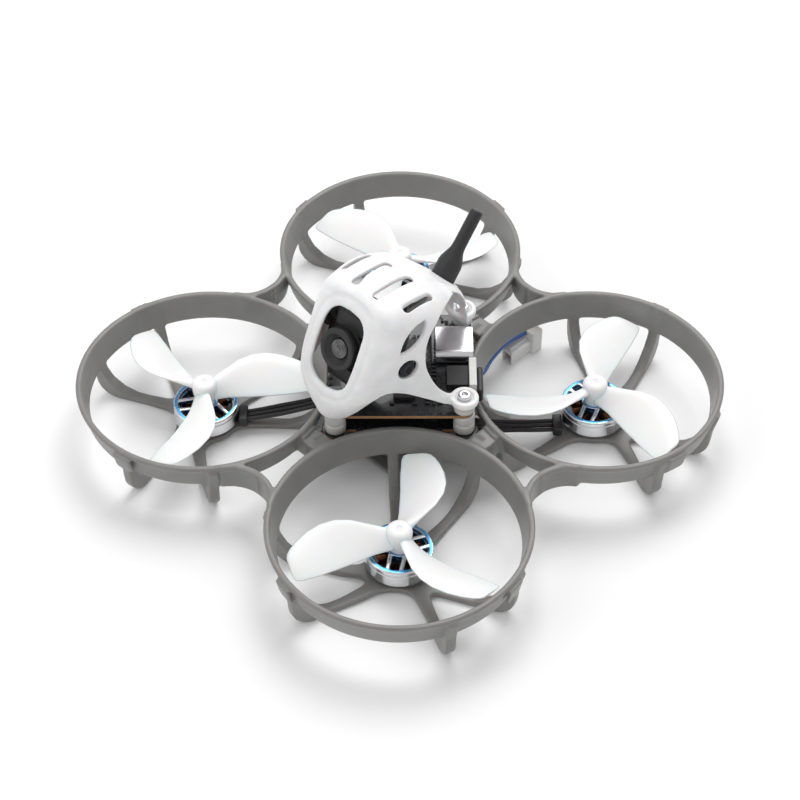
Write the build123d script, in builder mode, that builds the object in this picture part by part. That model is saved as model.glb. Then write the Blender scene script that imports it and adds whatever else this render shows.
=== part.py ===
from build123d import *
from math import cos, pi, radians, sin, sqrt, tan
import os

os.makedirs("parts", exist_ok=True)

# A ducted racing drone with four small motors. Millimetres, +Z up, nose towards -Y.
# The origin is on the resting surface, under the middle of the frame.

# ---- Driving dimensions -------------------------------------------------------------
WHEELBASE = 80.8                # motor to motor, across the diagonal
REACH = WHEELBASE / 2 / sqrt(2)  # each motor's distance from the middle along X and Y

CORNERS = {
    "front_left": (1, -1),
    "front_right": (-1, -1),
    "rear_left": (1, 1),
    "rear_right": (-1, 1),
}

DUCT_BOTTOM = 7.7               # height of the ring's lower edge
DUCT_TOP = 13.55
DUCT_R_LOW = 24.8               # outer radius at the lower edge
DUCT_R_HIGH = 26.1              # outer radius at the rim
DUCT_WALL = 1.0

STRUT_ANGLES = [(-14, -19, -22.5), (0, 12, 17.5), (92, 95.5, 97.5), (138, 138, 138),
                (-120, -134, -142.5), (-85, -95, -100)]
STRUT_RADII = (5.5, 14.0, 26.9)  # where each strut's three angles hold
STRUT_WIDTHS = (3.4, 2.3, 2.2)
STRUT_THICK = 1.2
RIB_PROUD = 0.85                # how far a rib stands off the ring
RIB_TOP = 12.6
FOOT_BEND = 4.8                 # bend radius under each strut's leg
LEG_R = DUCT_R_LOW + 0.6        # outer radius of the upright legs
BEND_R = LEG_R - FOOT_BEND      # where a foot's bend begins
FOOT_FLAT = 3.0                 # length of the flat each foot stands on
PLATE_R = 7.2
PLATE_LOW = 0.3
PLATE_TOP = 1.5

MOTOR_SCREW_CIRCLE = 3.3        # radius of the motor's screw circle
BELL_R = 6.8
BELL_WALL = 0.55
BELL_LOW = 2.4
BELL_TOP = 6.45
MAGNET_THICK = 0.75
STATOR_R = 5.2
SHAFT_R = 0.75
BEARING_R = 1.6
RUNNING_GAP = 0.05

PROP_R = 22.4
PROP_BLADES = 3
HUB_R = 2.3
HUB_LOW = 6.75
HUB_TOP = 12.45
PROP_PHASE = {"front_left": 5.0, "front_right": 55.8, "rear_left": -5.5, "rear_right": 64.6}
PROP_TURN = {"front_left": -1, "front_right": 1, "rear_left": 1, "rear_right": -1}

STACK_HOLE = 13.0               # half the square pattern of the boards' holes
STACK_SCREW_R = 0.7
SCREW_HEAD_R = 1.4
FC_LOW = 10.8
FC_TOP = 11.7
FC_HALF = 14.2
VTX_LOW = 16.4
VTX_TOP = 17.2
VTX_HALF = 14.9
EAR_LOW = 19.5                  # underside of the canopy's ears
EAR_TOP = 20.8
GROMMET_R = 2.15

TRAY_HALF_X = 10.6
TRAY_HALF_Y = 12.9
TRAY_LOW = 0.8
TRAY_WALL = 1.1
DECK_LOW = 9.0
DECK_TOP = 10.2

FRONT_LEAN = 0.241              # how far the canopy's face leans back for each mm of height
CANOPY_WALL = 1.0
PIVOT = (0, -9.3, 30.2)         # camera tilt axis, along X
CAMERA_TILT = 20                # degrees, nose up
CAMERA_HALF = 6.8
PIVOT_SCREW_R = 1.82

ANTENNA_BASE = (0, 14.3, 31.6)
ANTENNA_TIP = (0, 22.0, 45.0)
SLEEVE_R = 2.5
WHIP_R = 1.35

WIRE_R = 0.6                    # battery wires
WIRE_ROUTES = {
    "battery_lead_blue": [
        (1.2, 6.8, 12.5), (2.2, 10.4, 13.2), (3.4, 14.2, 14.0), (4.4, 17.4, 13.0),
        (4.5, 18.9, 10.2), (4.7, 19.4, 7.3), (6.0, 20.8, 6.0), (6.7, 23.4, 5.7),
        (6.0, 26.8, 5.4), (4.9, 30.6, 5.2), (3.9, 34.66, 5.0),
    ],
    "battery_lead_black": [
        (-0.2, 7.4, 12.5), (0.9, 11.2, 13.2), (2.2, 15.0, 14.1), (3.2, 18.6, 13.4),
        (3.5, 20.3, 10.4), (3.6, 20.6, 7.4), (4.6, 22.0, 5.9), (4.9, 24.4, 5.6),
        (4.2, 27.8, 5.4), (3.3, 31.4, 5.2), (2.4, 34.66, 5.0),
    ],
}


def motor_xy(corner):
    """The place of a corner's motor."""
    return CORNERS[corner][0] * REACH, CORNERS[corner][1] * REACH


def motor_plane(corner, height=0.0):
    """A level plane on a motor's axis."""
    x, y = motor_xy(corner)
    return Plane(origin=(x, y, height), x_dir=(1, 0, 0), z_dir=(0, 0, 1))


def motor_section(corner):
    """The upright plane through a motor's axis, between two struts, for turned profiles."""
    side_x, side_y = CORNERS[corner]
    across = Vector(side_x, -1.6 * side_y, 0)
    return Plane(origin=(*motor_xy(corner), 0), x_dir=across, z_dir=across.cross(Vector(0, 0, 1)))


def motor_axis(corner):
    return Axis((*motor_xy(corner), 0), (0, 0, 1))


def stack_plane(height):
    """A level plane turned 45 degrees, along the edges of the square boards."""
    return Plane(origin=(0, 0, height), x_dir=(1, 1, 0), z_dir=(0, 0, 1))


def save(piece, name):
    piece.part.label = name
    export_step(piece.part, f"parts/{name}.step")


def ring_radius(height):
    """Outer radius of a duct at a height."""
    share = (height - DUCT_BOTTOM) / (DUCT_TOP - DUCT_BOTTOM)
    return DUCT_R_LOW + share * (DUCT_R_HIGH - DUCT_R_LOW)


# ---- Ducts --------------------------------------------------------------------------
rings = {}
for corner in CORNERS:
    with BuildPart() as duct_ring:
        with BuildSketch(motor_section(corner)):
            with BuildLine():
                Polyline(
                    (DUCT_R_LOW - DUCT_WALL, DUCT_BOTTOM),
                    (DUCT_R_LOW, DUCT_BOTTOM),
                    (DUCT_R_HIGH, DUCT_TOP),
                    (DUCT_R_HIGH - DUCT_WALL, DUCT_TOP),
                    close=True,
                )
            make_face()
        revolve(axis=motor_axis(corner))
    save(duct_ring, f"duct_ring_{corner}")
    rings[corner] = duct_ring


# ---- Motor mounts: a screw plate, six struts and their feet ---------------------------
def strut_side(angles, side, flip_x, flip_y):
    """Three points along one side of a strut, mirrored for its corner."""
    points = []
    for radius, angle, width in zip(STRUT_RADII, angles, STRUT_WIDTHS):
        turn = radians(angle) + side * width / 2 / radius
        points.append((flip_x * radius * cos(turn), flip_y * radius * sin(turn)))
    return points


mounts = {}
for corner, (side_x, side_y) in CORNERS.items():
    with BuildPart() as motor_mount:
        with BuildSketch(motor_section(corner)):
            with BuildLine():
                Polyline((0, PLATE_TOP), (0, PLATE_LOW), (PLATE_R + 1, PLATE_LOW),
                         (BEND_R - FOOT_FLAT, 0), (BEND_R, 0))
                CenterArc((BEND_R, FOOT_BEND), FOOT_BEND, -90, 90)
                Polyline(
                    (LEG_R, FOOT_BEND),
                    (ring_radius(DUCT_BOTTOM) + RIB_PROUD, DUCT_BOTTOM),
                    (ring_radius(RIB_TOP) + RIB_PROUD, RIB_TOP),
                    (ring_radius(RIB_TOP) - 0.5, RIB_TOP),
                    (DUCT_R_LOW - 0.5, DUCT_BOTTOM),
                    (LEG_R - STRUT_THICK, FOOT_BEND),
                )
                CenterArc((BEND_R, FOOT_BEND), FOOT_BEND - STRUT_THICK, -90, 90)
                Polyline((BEND_R, STRUT_THICK), (PLATE_R + 1, PLATE_TOP), (0, PLATE_TOP))
            make_face()
        revolve(axis=motor_axis(corner))
        with BuildSketch(motor_plane(corner)):
            Circle(PLATE_R)
            for angles in STRUT_ANGLES:
                with BuildLine():
                    near = strut_side(angles, -1, side_x, -side_y)
                    far = strut_side(angles, 1, side_x, -side_y)
                    ThreePointArc(*near)
                    Line(near[2], far[2])
                    ThreePointArc(*reversed(far))
                    Line(far[0], near[0])
                make_face()
        extrude(amount=RIB_TOP + 1, mode=Mode.INTERSECT)
        with BuildSketch(motor_plane(corner)):
            Circle(BEARING_R)
            with PolarLocations(MOTOR_SCREW_CIRCLE, 3):
                Circle(STACK_SCREW_R + 0.1)
        extrude(amount=PLATE_TOP, mode=Mode.SUBTRACT)
        add(rings[corner].part, mode=Mode.SUBTRACT)
    save(motor_mount, f"motor_mount_{corner}")
    mounts[corner] = motor_mount


# ---- Webs: four curved walls that join neighbouring rings, and the necks inside them ----
WEB_OUT = 39.4                  # how far out each web's outer face stands
WEB_WALL = 1.0
NECK_IN = 21.4                  # a neck fills the gap between two rings from here
NECK_OUT = 25.9
NECK_TOP = 12.4


def web_fillet():
    """Radius and centre distance of an arc that touches two neighbouring rims from outside."""
    gap = WEB_OUT - REACH
    radius = (REACH**2 + gap**2 - DUCT_R_HIGH**2) / (2 * (DUCT_R_HIGH - gap))
    return radius, WEB_OUT + radius


web_r, web_centre = web_fillet()
touch_out = REACH + (web_centre - REACH) * DUCT_R_HIGH / (DUCT_R_HIGH + web_r)
with BuildPart() as duct_webs:
    with BuildSketch(Plane.XY.offset(DUCT_BOTTOM)):
        with PolarLocations(web_centre, 4):
            Circle(web_r + WEB_WALL)
        with PolarLocations(web_centre, 4):
            Circle(web_r, mode=Mode.SUBTRACT)
        Rectangle(2 * touch_out, 2 * touch_out, mode=Mode.INTERSECT)
    extrude(amount=DUCT_TOP - DUCT_BOTTOM)
    with BuildSketch(Plane.XY.offset(DUCT_BOTTOM + 0.4)):
        with PolarLocations((NECK_IN + NECK_OUT) / 2, 4):
            Rectangle(NECK_OUT - NECK_IN, 12)
    extrude(amount=NECK_TOP - DUCT_BOTTOM - 0.4)
    for corner in CORNERS:
        with BuildSketch(motor_section(corner)):
            with BuildLine():
                Polyline(
                    (0, DUCT_BOTTOM - 1),
                    (ring_radius(DUCT_BOTTOM - 1), DUCT_BOTTOM - 1),
                    (ring_radius(DUCT_TOP + 1), DUCT_TOP + 1),
                    (0, DUCT_TOP + 1),
                    close=True,
                )
            make_face()
        revolve(axis=motor_axis(corner), mode=Mode.SUBTRACT)
        add(mounts[corner].part, mode=Mode.SUBTRACT)
    with PolarLocations(22.9, 4):
        Cylinder(0.6, 40, mode=Mode.SUBTRACT)
save(duct_webs, "duct_webs")


# ---- Middle deck with the battery tray hung under it ----------------------------------
ARM_HALF = 7.4
BAY_TOP = DECK_LOW
with BuildPart() as center_deck:
    with BuildSketch(Plane.XY.offset(DECK_LOW)):
        Rectangle(2 * TRAY_HALF_X, 2 * TRAY_HALF_Y)
        Rectangle(2 * NECK_IN, 2 * ARM_HALF)
        Rectangle(2 * ARM_HALF, 2 * NECK_IN)
        with PolarLocations(8.2, 4, start_angle=45):
            Rectangle(6.0, 6.0, rotation=45, mode=Mode.SUBTRACT)
        for corner in CORNERS:
            with Locations(motor_xy(corner)):
                Circle(ring_radius(DECK_TOP), mode=Mode.SUBTRACT)
    extrude(amount=DECK_TOP - DECK_LOW)
    with BuildSketch(Plane.XY.offset(DECK_TOP)):
        with PolarLocations(STACK_HOLE * sqrt(2), 4):
            Circle(2.6)
    extrude(amount=FC_LOW - DECK_TOP)
    with BuildSketch(Plane.XY.offset(TRAY_LOW)):
        Rectangle(2 * TRAY_HALF_X, 2 * TRAY_HALF_Y)
    extrude(amount=DECK_LOW - TRAY_LOW)
    with BuildSketch(Plane.XZ.offset(-TRAY_HALF_Y - 1)):
        with Locations((0, (TRAY_LOW + TRAY_WALL + BAY_TOP) / 2)):
            Rectangle(2 * (TRAY_HALF_X - TRAY_WALL), BAY_TOP - TRAY_LOW - TRAY_WALL)
    extrude(amount=2 * TRAY_HALF_Y + 2, mode=Mode.SUBTRACT)
    with BuildSketch(Plane.XY.offset(TRAY_LOW)):
        with GridLocations(0, 12.6, 1, 2):
            RectangleRounded(12.5, 8.6, 2.0)
    extrude(amount=TRAY_WALL, mode=Mode.SUBTRACT)
    with BuildSketch(Plane.XY.offset(TRAY_LOW + 4.8)):
        with GridLocations(2 * 11.0, 2 * 8.4, 2, 2):
            Rectangle(3.6, 4.4)
    extrude(amount=DECK_TOP - TRAY_LOW, mode=Mode.SUBTRACT)
    with BuildSketch(Plane.XY.offset(DECK_LOW)):
        with GridLocations(2 * 5.0, 2 * 18.1, 2, 2):
            Rectangle(4.2, 6.0)
    extrude(amount=DECK_TOP - DECK_LOW, mode=Mode.SUBTRACT)
    with BuildSketch(Plane.XY.offset(TRAY_LOW + 2.3)):
        with GridLocations(2 * TRAY_HALF_X, 2 * TRAY_HALF_Y, 2, 2):
            Rectangle(1.4, 1.6)
    extrude(amount=DECK_TOP - TRAY_LOW, mode=Mode.SUBTRACT)
    with BuildSketch(Plane.XY.offset(DECK_LOW)):
        with PolarLocations(STACK_HOLE * sqrt(2), 4):
            Circle(STACK_SCREW_R)
    extrude(amount=FC_LOW - DECK_LOW, mode=Mode.SUBTRACT)
    for corner in CORNERS:
        add(mounts[corner].part, mode=Mode.SUBTRACT)
        add(rings[corner].part, mode=Mode.SUBTRACT)
save(center_deck, "center_deck")


# ---- Motors and propellers ------------------------------------------------------------
BLADE_STATIONS = [  # radius, chord, lead of the blade's middle, pitch in degrees, thickness
    (1.9, 3.0, 0.0, 34, 1.3),
    (5.0, 6.4, 0.9, 31, 1.1),
    (10.0, 9.6, 1.6, 25, 0.95),
    (15.5, 9.8, 1.0, 20, 0.8),
    (20.0, 7.2, -0.9, 16, 0.65),
    (22.2, 3.4, -2.6, 14, 0.5),
]
BLADE_HEIGHT = 9.6


def blade_plane(corner, blade, radius, lead, pitch):
    """The plane of one blade section: local X along the chord, normal along the blade."""
    turn = PROP_TURN[corner]
    angle = radians(PROP_PHASE[corner] + blade * 360 / PROP_BLADES)
    outward = Vector(cos(angle), sin(angle), 0)
    forward = Vector(-sin(angle), cos(angle), 0) * turn
    x, y = motor_xy(corner)
    origin = Vector(x, y, BLADE_HEIGHT) + outward * radius + forward * lead
    chord = forward * cos(radians(pitch)) + Vector(0, 0, 1) * sin(radians(pitch))
    return Plane(origin=origin, x_dir=chord, z_dir=outward)


for corner in CORNERS:
    with BuildPart() as motor_base:
        with BuildSketch(motor_plane(corner, PLATE_TOP)):
            Circle(4.4)
        extrude(amount=0.6)
        with BuildSketch(motor_plane(corner, PLATE_TOP)):
            Circle(BEARING_R)
        extrude(amount=3.7)
        with BuildSketch(motor_plane(corner, PLATE_TOP)):
            Circle(SHAFT_R + RUNNING_GAP)
            with PolarLocations(MOTOR_SCREW_CIRCLE, 3):
                Circle(STACK_SCREW_R)
        extrude(amount=3.7, mode=Mode.SUBTRACT)
    save(motor_base, f"motor_base_{corner}")

    with BuildPart() as stator:
        with BuildSketch(motor_plane(corner, 2.9)):
            Circle(BEARING_R + 1.0)
            with PolarLocations(3.6, 9):
                Rectangle(2.4, 0.8)
            with PolarLocations(4.85, 9):
                Rectangle(0.7, 2.5)
            Circle(BEARING_R, mode=Mode.SUBTRACT)
        extrude(amount=2.0)
    save(stator, f"stator_{corner}")

    with BuildPart() as windings:
        with BuildSketch(motor_plane(corner, 2.6)):
            with PolarLocations(3.55, 9):
                Rectangle(1.7, 1.7)
        extrude(amount=2.6)
        add(stator.part, mode=Mode.SUBTRACT)
    save(windings, f"windings_{corner}")

    with BuildPart() as bell:
        with BuildSketch(motor_plane(corner, BELL_LOW)):
            Circle(BELL_R)
        extrude(amount=BELL_TOP - BELL_LOW)
        chamfer(bell.edges().group_by(Axis.Z)[-1], 0.35)
        with BuildSketch(motor_plane(corner, BELL_LOW)):
            Circle(BELL_R - BELL_WALL)
        extrude(amount=BELL_TOP - BELL_LOW - 0.9, mode=Mode.SUBTRACT)
        with BuildSketch(motor_plane(corner, BELL_TOP - 1)):
            Circle(BELL_R - 1.1)
            Circle(2.2, mode=Mode.SUBTRACT)
            with PolarLocations((BELL_R - 1.1) / 2, 3, start_angle=PROP_PHASE[corner]):
                Rectangle(BELL_R, 1.3, mode=Mode.SUBTRACT)
        extrude(amount=1.1, mode=Mode.SUBTRACT)
        with BuildSketch(motor_plane(corner, BELL_TOP - 1)):
            Circle(SHAFT_R)
        extrude(amount=1.1, mode=Mode.SUBTRACT)
    save(bell, f"bell_{corner}")

    with BuildPart() as magnets:
        with BuildSketch(motor_plane(corner, BELL_LOW + 0.3)):
            Circle(BELL_R - BELL_WALL)
            Circle(BELL_R - BELL_WALL - MAGNET_THICK, mode=Mode.SUBTRACT)
            with PolarLocations(BELL_R - BELL_WALL, 12):
                Rectangle(3, 0.35, mode=Mode.SUBTRACT)
        extrude(amount=2.8)
    save(magnets, f"magnets_{corner}")

    with BuildPart() as shaft:
        with BuildSketch(motor_plane(corner, PLATE_LOW + 0.2)):
            Circle(SHAFT_R)
        extrude(amount=HUB_TOP - PLATE_LOW - 1.4)
    save(shaft, f"shaft_{corner}")

    with BuildPart() as propeller:
        with BuildSketch(motor_plane(corner, HUB_LOW)):
            Circle(HUB_R)
        extrude(amount=HUB_TOP - HUB_LOW)
        fillet(propeller.edges().group_by(Axis.Z)[-1], 0.6)
        for blade in range(PROP_BLADES):
            for radius, chord, lead, pitch, thick in BLADE_STATIONS:
                with BuildSketch(blade_plane(corner, blade, radius, lead, pitch)):
                    Ellipse(chord / 2, thick / 2)
            loft()
        with BuildSketch(motor_plane(corner, HUB_LOW)):
            Circle(SHAFT_R)
        extrude(amount=HUB_TOP - HUB_LOW - 0.9, mode=Mode.SUBTRACT)
    save(propeller, f"propeller_{corner}")


# ---- Motor leads: three wires from each motor, held under the flight controller ---------
LEAD_R = 0.45
LEAD_PITCH = 1.15
LEAD_SIDE = 2.0                 # how far the leads pass beside the strut's leg


def lead_point(corner, radius, height, shift):
    """A point on one lead, by its distance from the motor towards the middle."""
    side_x, side_y = CORNERS[corner]
    x, y = motor_xy(corner)
    aside = LEAD_SIDE * radius / LEG_R - shift
    along_x = radius / sqrt(2) - aside / sqrt(2)
    along_y = radius / sqrt(2) + aside / sqrt(2)
    return x - side_x * along_x, y - side_y * along_y, height


LEAD_ROUTE = [(8.6, 3.2), (16.0, 4.4), (23.4, 5.9), (26.6, 7.4), (27.1, FC_LOW)]
for corner in CORNERS:
    with BuildPart() as motor_leads:
        for wire in (-1, 0, 1):
            route = [lead_point(corner, r, z, wire * LEAD_PITCH) for r, z in LEAD_ROUTE]
            with BuildLine() as path:
                FilletPolyline(*route, radius=1.0)
            with BuildSketch(Plane(path.line @ 0, z_dir=path.line % 0)):
                Circle(LEAD_R)
            sweep()
        start = lead_point(corner, 7.9, 0, 0)
        facing = Vector(*motor_xy(corner), 0) - Vector(*start)
        with BuildSketch(Plane(origin=(start[0], start[1], 1.9), x_dir=facing, z_dir=(0, 0, 1))):
            Rectangle(1.6, 4.2)
        extrude(amount=2.4)
    save(motor_leads, f"motor_leads_{corner}")

with BuildPart() as motor_screws:
    for corner in CORNERS:
        with Locations(motor_plane(corner)):
            with PolarLocations(MOTOR_SCREW_CIRCLE, 3):
                with Locations((0, 0, PLATE_TOP / 2 + 0.2)):
                    Cylinder(STACK_SCREW_R, PLATE_TOP + 0.2)
                with Locations((0, 0, 0.2)):
                    Cylinder(1.1, 0.2)
save(motor_screws, "motor_screws")


# ---- Board stack ----------------------------------------------------------------------
def stack_drill(radius):
    """Four pins at the stack's screw places, to drill through a board, grommet or ear."""
    with BuildPart() as drill:
        with BuildSketch(stack_plane(0)):
            with GridLocations(2 * STACK_HOLE, 2 * STACK_HOLE, 2, 2):
                Circle(radius)
        extrude(amount=EAR_TOP + 2)
    return drill.part


screw_holes = stack_drill(STACK_SCREW_R)
with BuildPart() as flight_controller:
    with BuildSketch(stack_plane(FC_LOW)):
        RectangleRounded(2 * FC_HALF, 2 * FC_HALF, 1.5)
        with GridLocations(2 * STACK_HOLE, 2 * STACK_HOLE, 2, 2):
            Circle(2.8)
        with PolarLocations(FC_HALF, 4):
            SlotOverall(9.0, 1.6, rotation=90, mode=Mode.SUBTRACT)
    extrude(amount=FC_TOP - FC_LOW)
    add(screw_holes, mode=Mode.SUBTRACT)
save(flight_controller, "flight_controller")

with BuildPart() as video_transmitter:
    with BuildSketch(stack_plane(VTX_LOW)):
        RectangleRounded(2 * VTX_HALF, 2 * VTX_HALF, 2.0)
    extrude(amount=VTX_TOP - VTX_LOW)
    add(screw_holes, mode=Mode.SUBTRACT)
save(video_transmitter, "video_transmitter")

BOARD_CHIPS = {  # places and sizes along the boards' own edges, then height
    FC_TOP: [(0, 0, 6.5, 6.5, 1.0), (8.6, -3.6, 3.4, 4.6, 0.9), (-7.4, -3.4, 4.0, 4.0, 0.9),
             (-3.0, -9.2, 5.0, 2.6, 1.2), (6.2, -9.6, 3.0, 3.0, 0.8), (-8.8, 7.2, 2.4, 4.0, 1.4)],
    VTX_TOP: [(11.8, -4.3, 4.4, 5.6, 1.2), (14.85, -4.4, 1.5, 8.0, 2.4), (0.5, 3.0, 7.0, 7.0, 1.0),
              (-8.0, 4.0, 6.0, 8.0, 1.4), (1.0, -9.0, 4.0, 3.0, 1.0), (6.4, -3.0, 1.2, 9.0, 0.6),
              (-2.5, -3.5, 4.0, 3.0, 1.6)],
}
with BuildPart() as board_components:
    for height, chips in BOARD_CHIPS.items():
        for p, q, size_p, size_q, tall in chips:
            with BuildSketch(stack_plane(height)):
                with Locations((p, q)):
                    Rectangle(size_p, size_q)
            extrude(amount=tall)
    with BuildSketch(stack_plane(VTX_LOW - 1.0)):
        with Locations((16.1, -5.0)):
            Rectangle(1.2, 7.0)
    extrude(amount=3.2)
    with BuildSketch(stack_plane(VTX_LOW - 1.0)):
        with Locations((14.5, -5.0)):
            Rectangle(3.0, 7.0)
    extrude(amount=1.0)
save(board_components, "board_components")

USB_HEIGHT = 3.2
with BuildPart() as usb_port:
    usb_face = Plane(origin=(0, 0, VTX_TOP), x_dir=(-1, 1, 0), z_dir=(1, 1, 0))
    with BuildSketch(usb_face.offset(7.4)):
        with Locations((4.2, USB_HEIGHT / 2)):
            RectangleRounded(9.0, USB_HEIGHT, 1.2)
    extrude(amount=7.6)
    with BuildSketch(usb_face.offset(9.0)):
        with Locations((4.2, USB_HEIGHT / 2)):
            RectangleRounded(8.4, USB_HEIGHT - 0.6, 1.0)
            Rectangle(6.7, 0.7, mode=Mode.SUBTRACT)
    extrude(amount=6.4, mode=Mode.SUBTRACT)
save(usb_port, "usb_port")

with BuildPart() as lower_grommets:
    with BuildSketch(stack_plane(FC_TOP)):
        with GridLocations(2 * STACK_HOLE, 2 * STACK_HOLE, 2, 2):
            Circle(GROMMET_R)
    extrude(amount=VTX_LOW - FC_TOP)
    with BuildSketch(stack_plane((FC_TOP + VTX_LOW) / 2 - 0.15)):
        with GridLocations(2 * STACK_HOLE, 2 * STACK_HOLE, 2, 2):
            Circle(GROMMET_R)
            Circle(GROMMET_R - 0.25, mode=Mode.SUBTRACT)
    extrude(amount=0.3, mode=Mode.SUBTRACT)
    add(screw_holes, mode=Mode.SUBTRACT)
save(lower_grommets, "lower_grommets")

with BuildPart() as upper_grommets:
    with BuildSketch(stack_plane(VTX_TOP)):
        with GridLocations(2 * STACK_HOLE, 2 * STACK_HOLE, 2, 2):
            Circle(GROMMET_R)
    extrude(amount=1.0)
    with BuildSketch(stack_plane(VTX_TOP + 1.0)):
        with GridLocations(2 * STACK_HOLE, 2 * STACK_HOLE, 2, 2):
            Circle(GROMMET_R - 0.35)
    extrude(amount=EAR_LOW - VTX_TOP - 1.0)
    add(screw_holes, mode=Mode.SUBTRACT)
save(upper_grommets, "upper_grommets")

with BuildPart() as canopy_screws:
    with BuildSketch(stack_plane(DECK_TOP)):
        with GridLocations(2 * STACK_HOLE, 2 * STACK_HOLE, 2, 2):
            Circle(STACK_SCREW_R)
    extrude(amount=EAR_TOP - DECK_TOP)
    with BuildSketch(stack_plane(EAR_TOP)):
        with GridLocations(2 * STACK_HOLE, 2 * STACK_HOLE, 2, 2):
            Circle(SCREW_HEAD_R)
    extrude(amount=0.8)
    with BuildSketch(stack_plane(EAR_TOP + 0.3)):
        with GridLocations(2 * STACK_HOLE, 2 * STACK_HOLE, 2, 2):
            RegularPolygon(0.65, 6)
    extrude(amount=0.6, mode=Mode.SUBTRACT)
save(canopy_screws, "canopy_screws")


# ---- Canopy -----------------------------------------------------------------------------
# Half widths of the canopy at stations along Y, for a few heights.
SECTION_Y = (-22, -18, -15, -12, -6, -3, 0, 5, 10, 14, 18, 22)
SECTION_HALF = {
    15.0: (3.0, 3.4, 6.6, 9.4, 14.4, 16.3, 15.5, 12.0, 8.0, 5.0, 3.2, 2.8),
    22.0: (4.4, 5.8, 7.8, 9.8, 14.5, 16.3, 15.5, 12.0, 8.0, 5.0, 3.2, 2.8),
    30.0: (8.0, 8.7, 9.6, 10.5, 12.2, 12.6, 12.4, 10.8, 8.0, 5.0, 3.2, 2.8),
    37.0: (7.4, 8.0, 8.9, 9.7, 11.0, 11.4, 11.2, 9.9, 7.2, 4.5, 3.0, 2.8),
    46.0: (6.6, 7.2, 8.0, 8.8, 10.0, 10.4, 10.2, 8.9, 6.6, 4.2, 3.0, 2.8),
}
CHIN = [(-18.6, 24.3), (-20.4, 21.6), (-21.5, 19.4), (-21.6, 18.1)]
ROOF = [(-13.9, 42.9), (-11.0, 44.4), (-4.4, 43.0), (0.6, 41.9), (4.9, 40.0), (9.1, 36.1),
        (14.0, 30.5), (17.6, 25.0), (20.9, EAR_LOW)]


def front_y(height):
    """Where the canopy's leaning face stands at a height."""
    return -18.4 + (height - 24.3) * FRONT_LEAN


def canopy_body(inset):
    """The canopy's full form, drawn in by a wall's thickness."""
    with BuildPart() as body:
        for height, halves in SECTION_HALF.items():
            with BuildSketch(Plane.XY.offset(height)):
                with BuildLine():
                    right = [(half - inset, y) for y, half in zip(SECTION_Y, halves)]
                    left = [(-x, y) for x, y in right]
                    Spline(*right)
                    Spline(*left)
                    Line(right[0], left[0])
                    Line(right[-1], left[-1])
                make_face()
        loft()
        roof = [(y - 0.3 * inset, z - inset) for y, z in ROOF]
        chin = [(y + inset, z) for y, z in CHIN]
        with BuildSketch(Plane.YZ.offset(-30)):
            with BuildLine():
                Spline(*roof)
                Polyline(roof[-1], (roof[-1][0], 14.0), (chin[-1][0], 14.0), *reversed(chin), roof[0])
            make_face()
        extrude(amount=60, mode=Mode.INTERSECT)
    return body.part


antenna_line = Vector(*ANTENNA_TIP) - Vector(*ANTENNA_BASE)
antenna_plane = Plane(origin=ANTENNA_BASE, x_dir=(1, 0, 0), z_dir=antenna_line)
with BuildPart() as antenna_drill:
    with BuildSketch(antenna_plane.offset(-4)):
        Circle(SLEEVE_R)
    extrude(amount=9)
antenna_hole = antenna_drill.part

canopy_outer = canopy_body(0.0)
canopy_inner = canopy_body(CANOPY_WALL)
WINDOW_MIDDLE = 32.4
lean_out = Vector(0, -1, FRONT_LEAN)
window_plane = Plane(
    origin=(0, front_y(WINDOW_MIDDLE), WINDOW_MIDDLE), x_dir=(1, 0, 0), z_dir=lean_out
)
NOSE_LOW = 18.1
NOSE_R = 3.2
ARCH = [(-18.6, NOSE_LOW), (-16.6, 20.5), (-14.7, 23.4), (-12.3, 24.1), (-9.5, 23.4), (-6.5, 21.5),
        (-3.6, EAR_LOW)]
SIDE_OPENING = [(-1.2, 18.5), (-1.7, 20.8), (-4.0, 23.8), (-5.4, 29.7), (-4.9, 33.6), (-3.1, 36.3),
                (0.3, 37.9), (4.6, 37.3), (9.0, 34.2), (12.6, 30.0), (15.4, 25.6), (17.0, 21.0),
                (17.4, 18.5)]
SLOTS = {-8.85: (-3.2, 7.8), -2.95: (-4.8, 10.4), 2.95: (-4.8, 10.4), 8.85: (-3.2, 7.8)}
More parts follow.
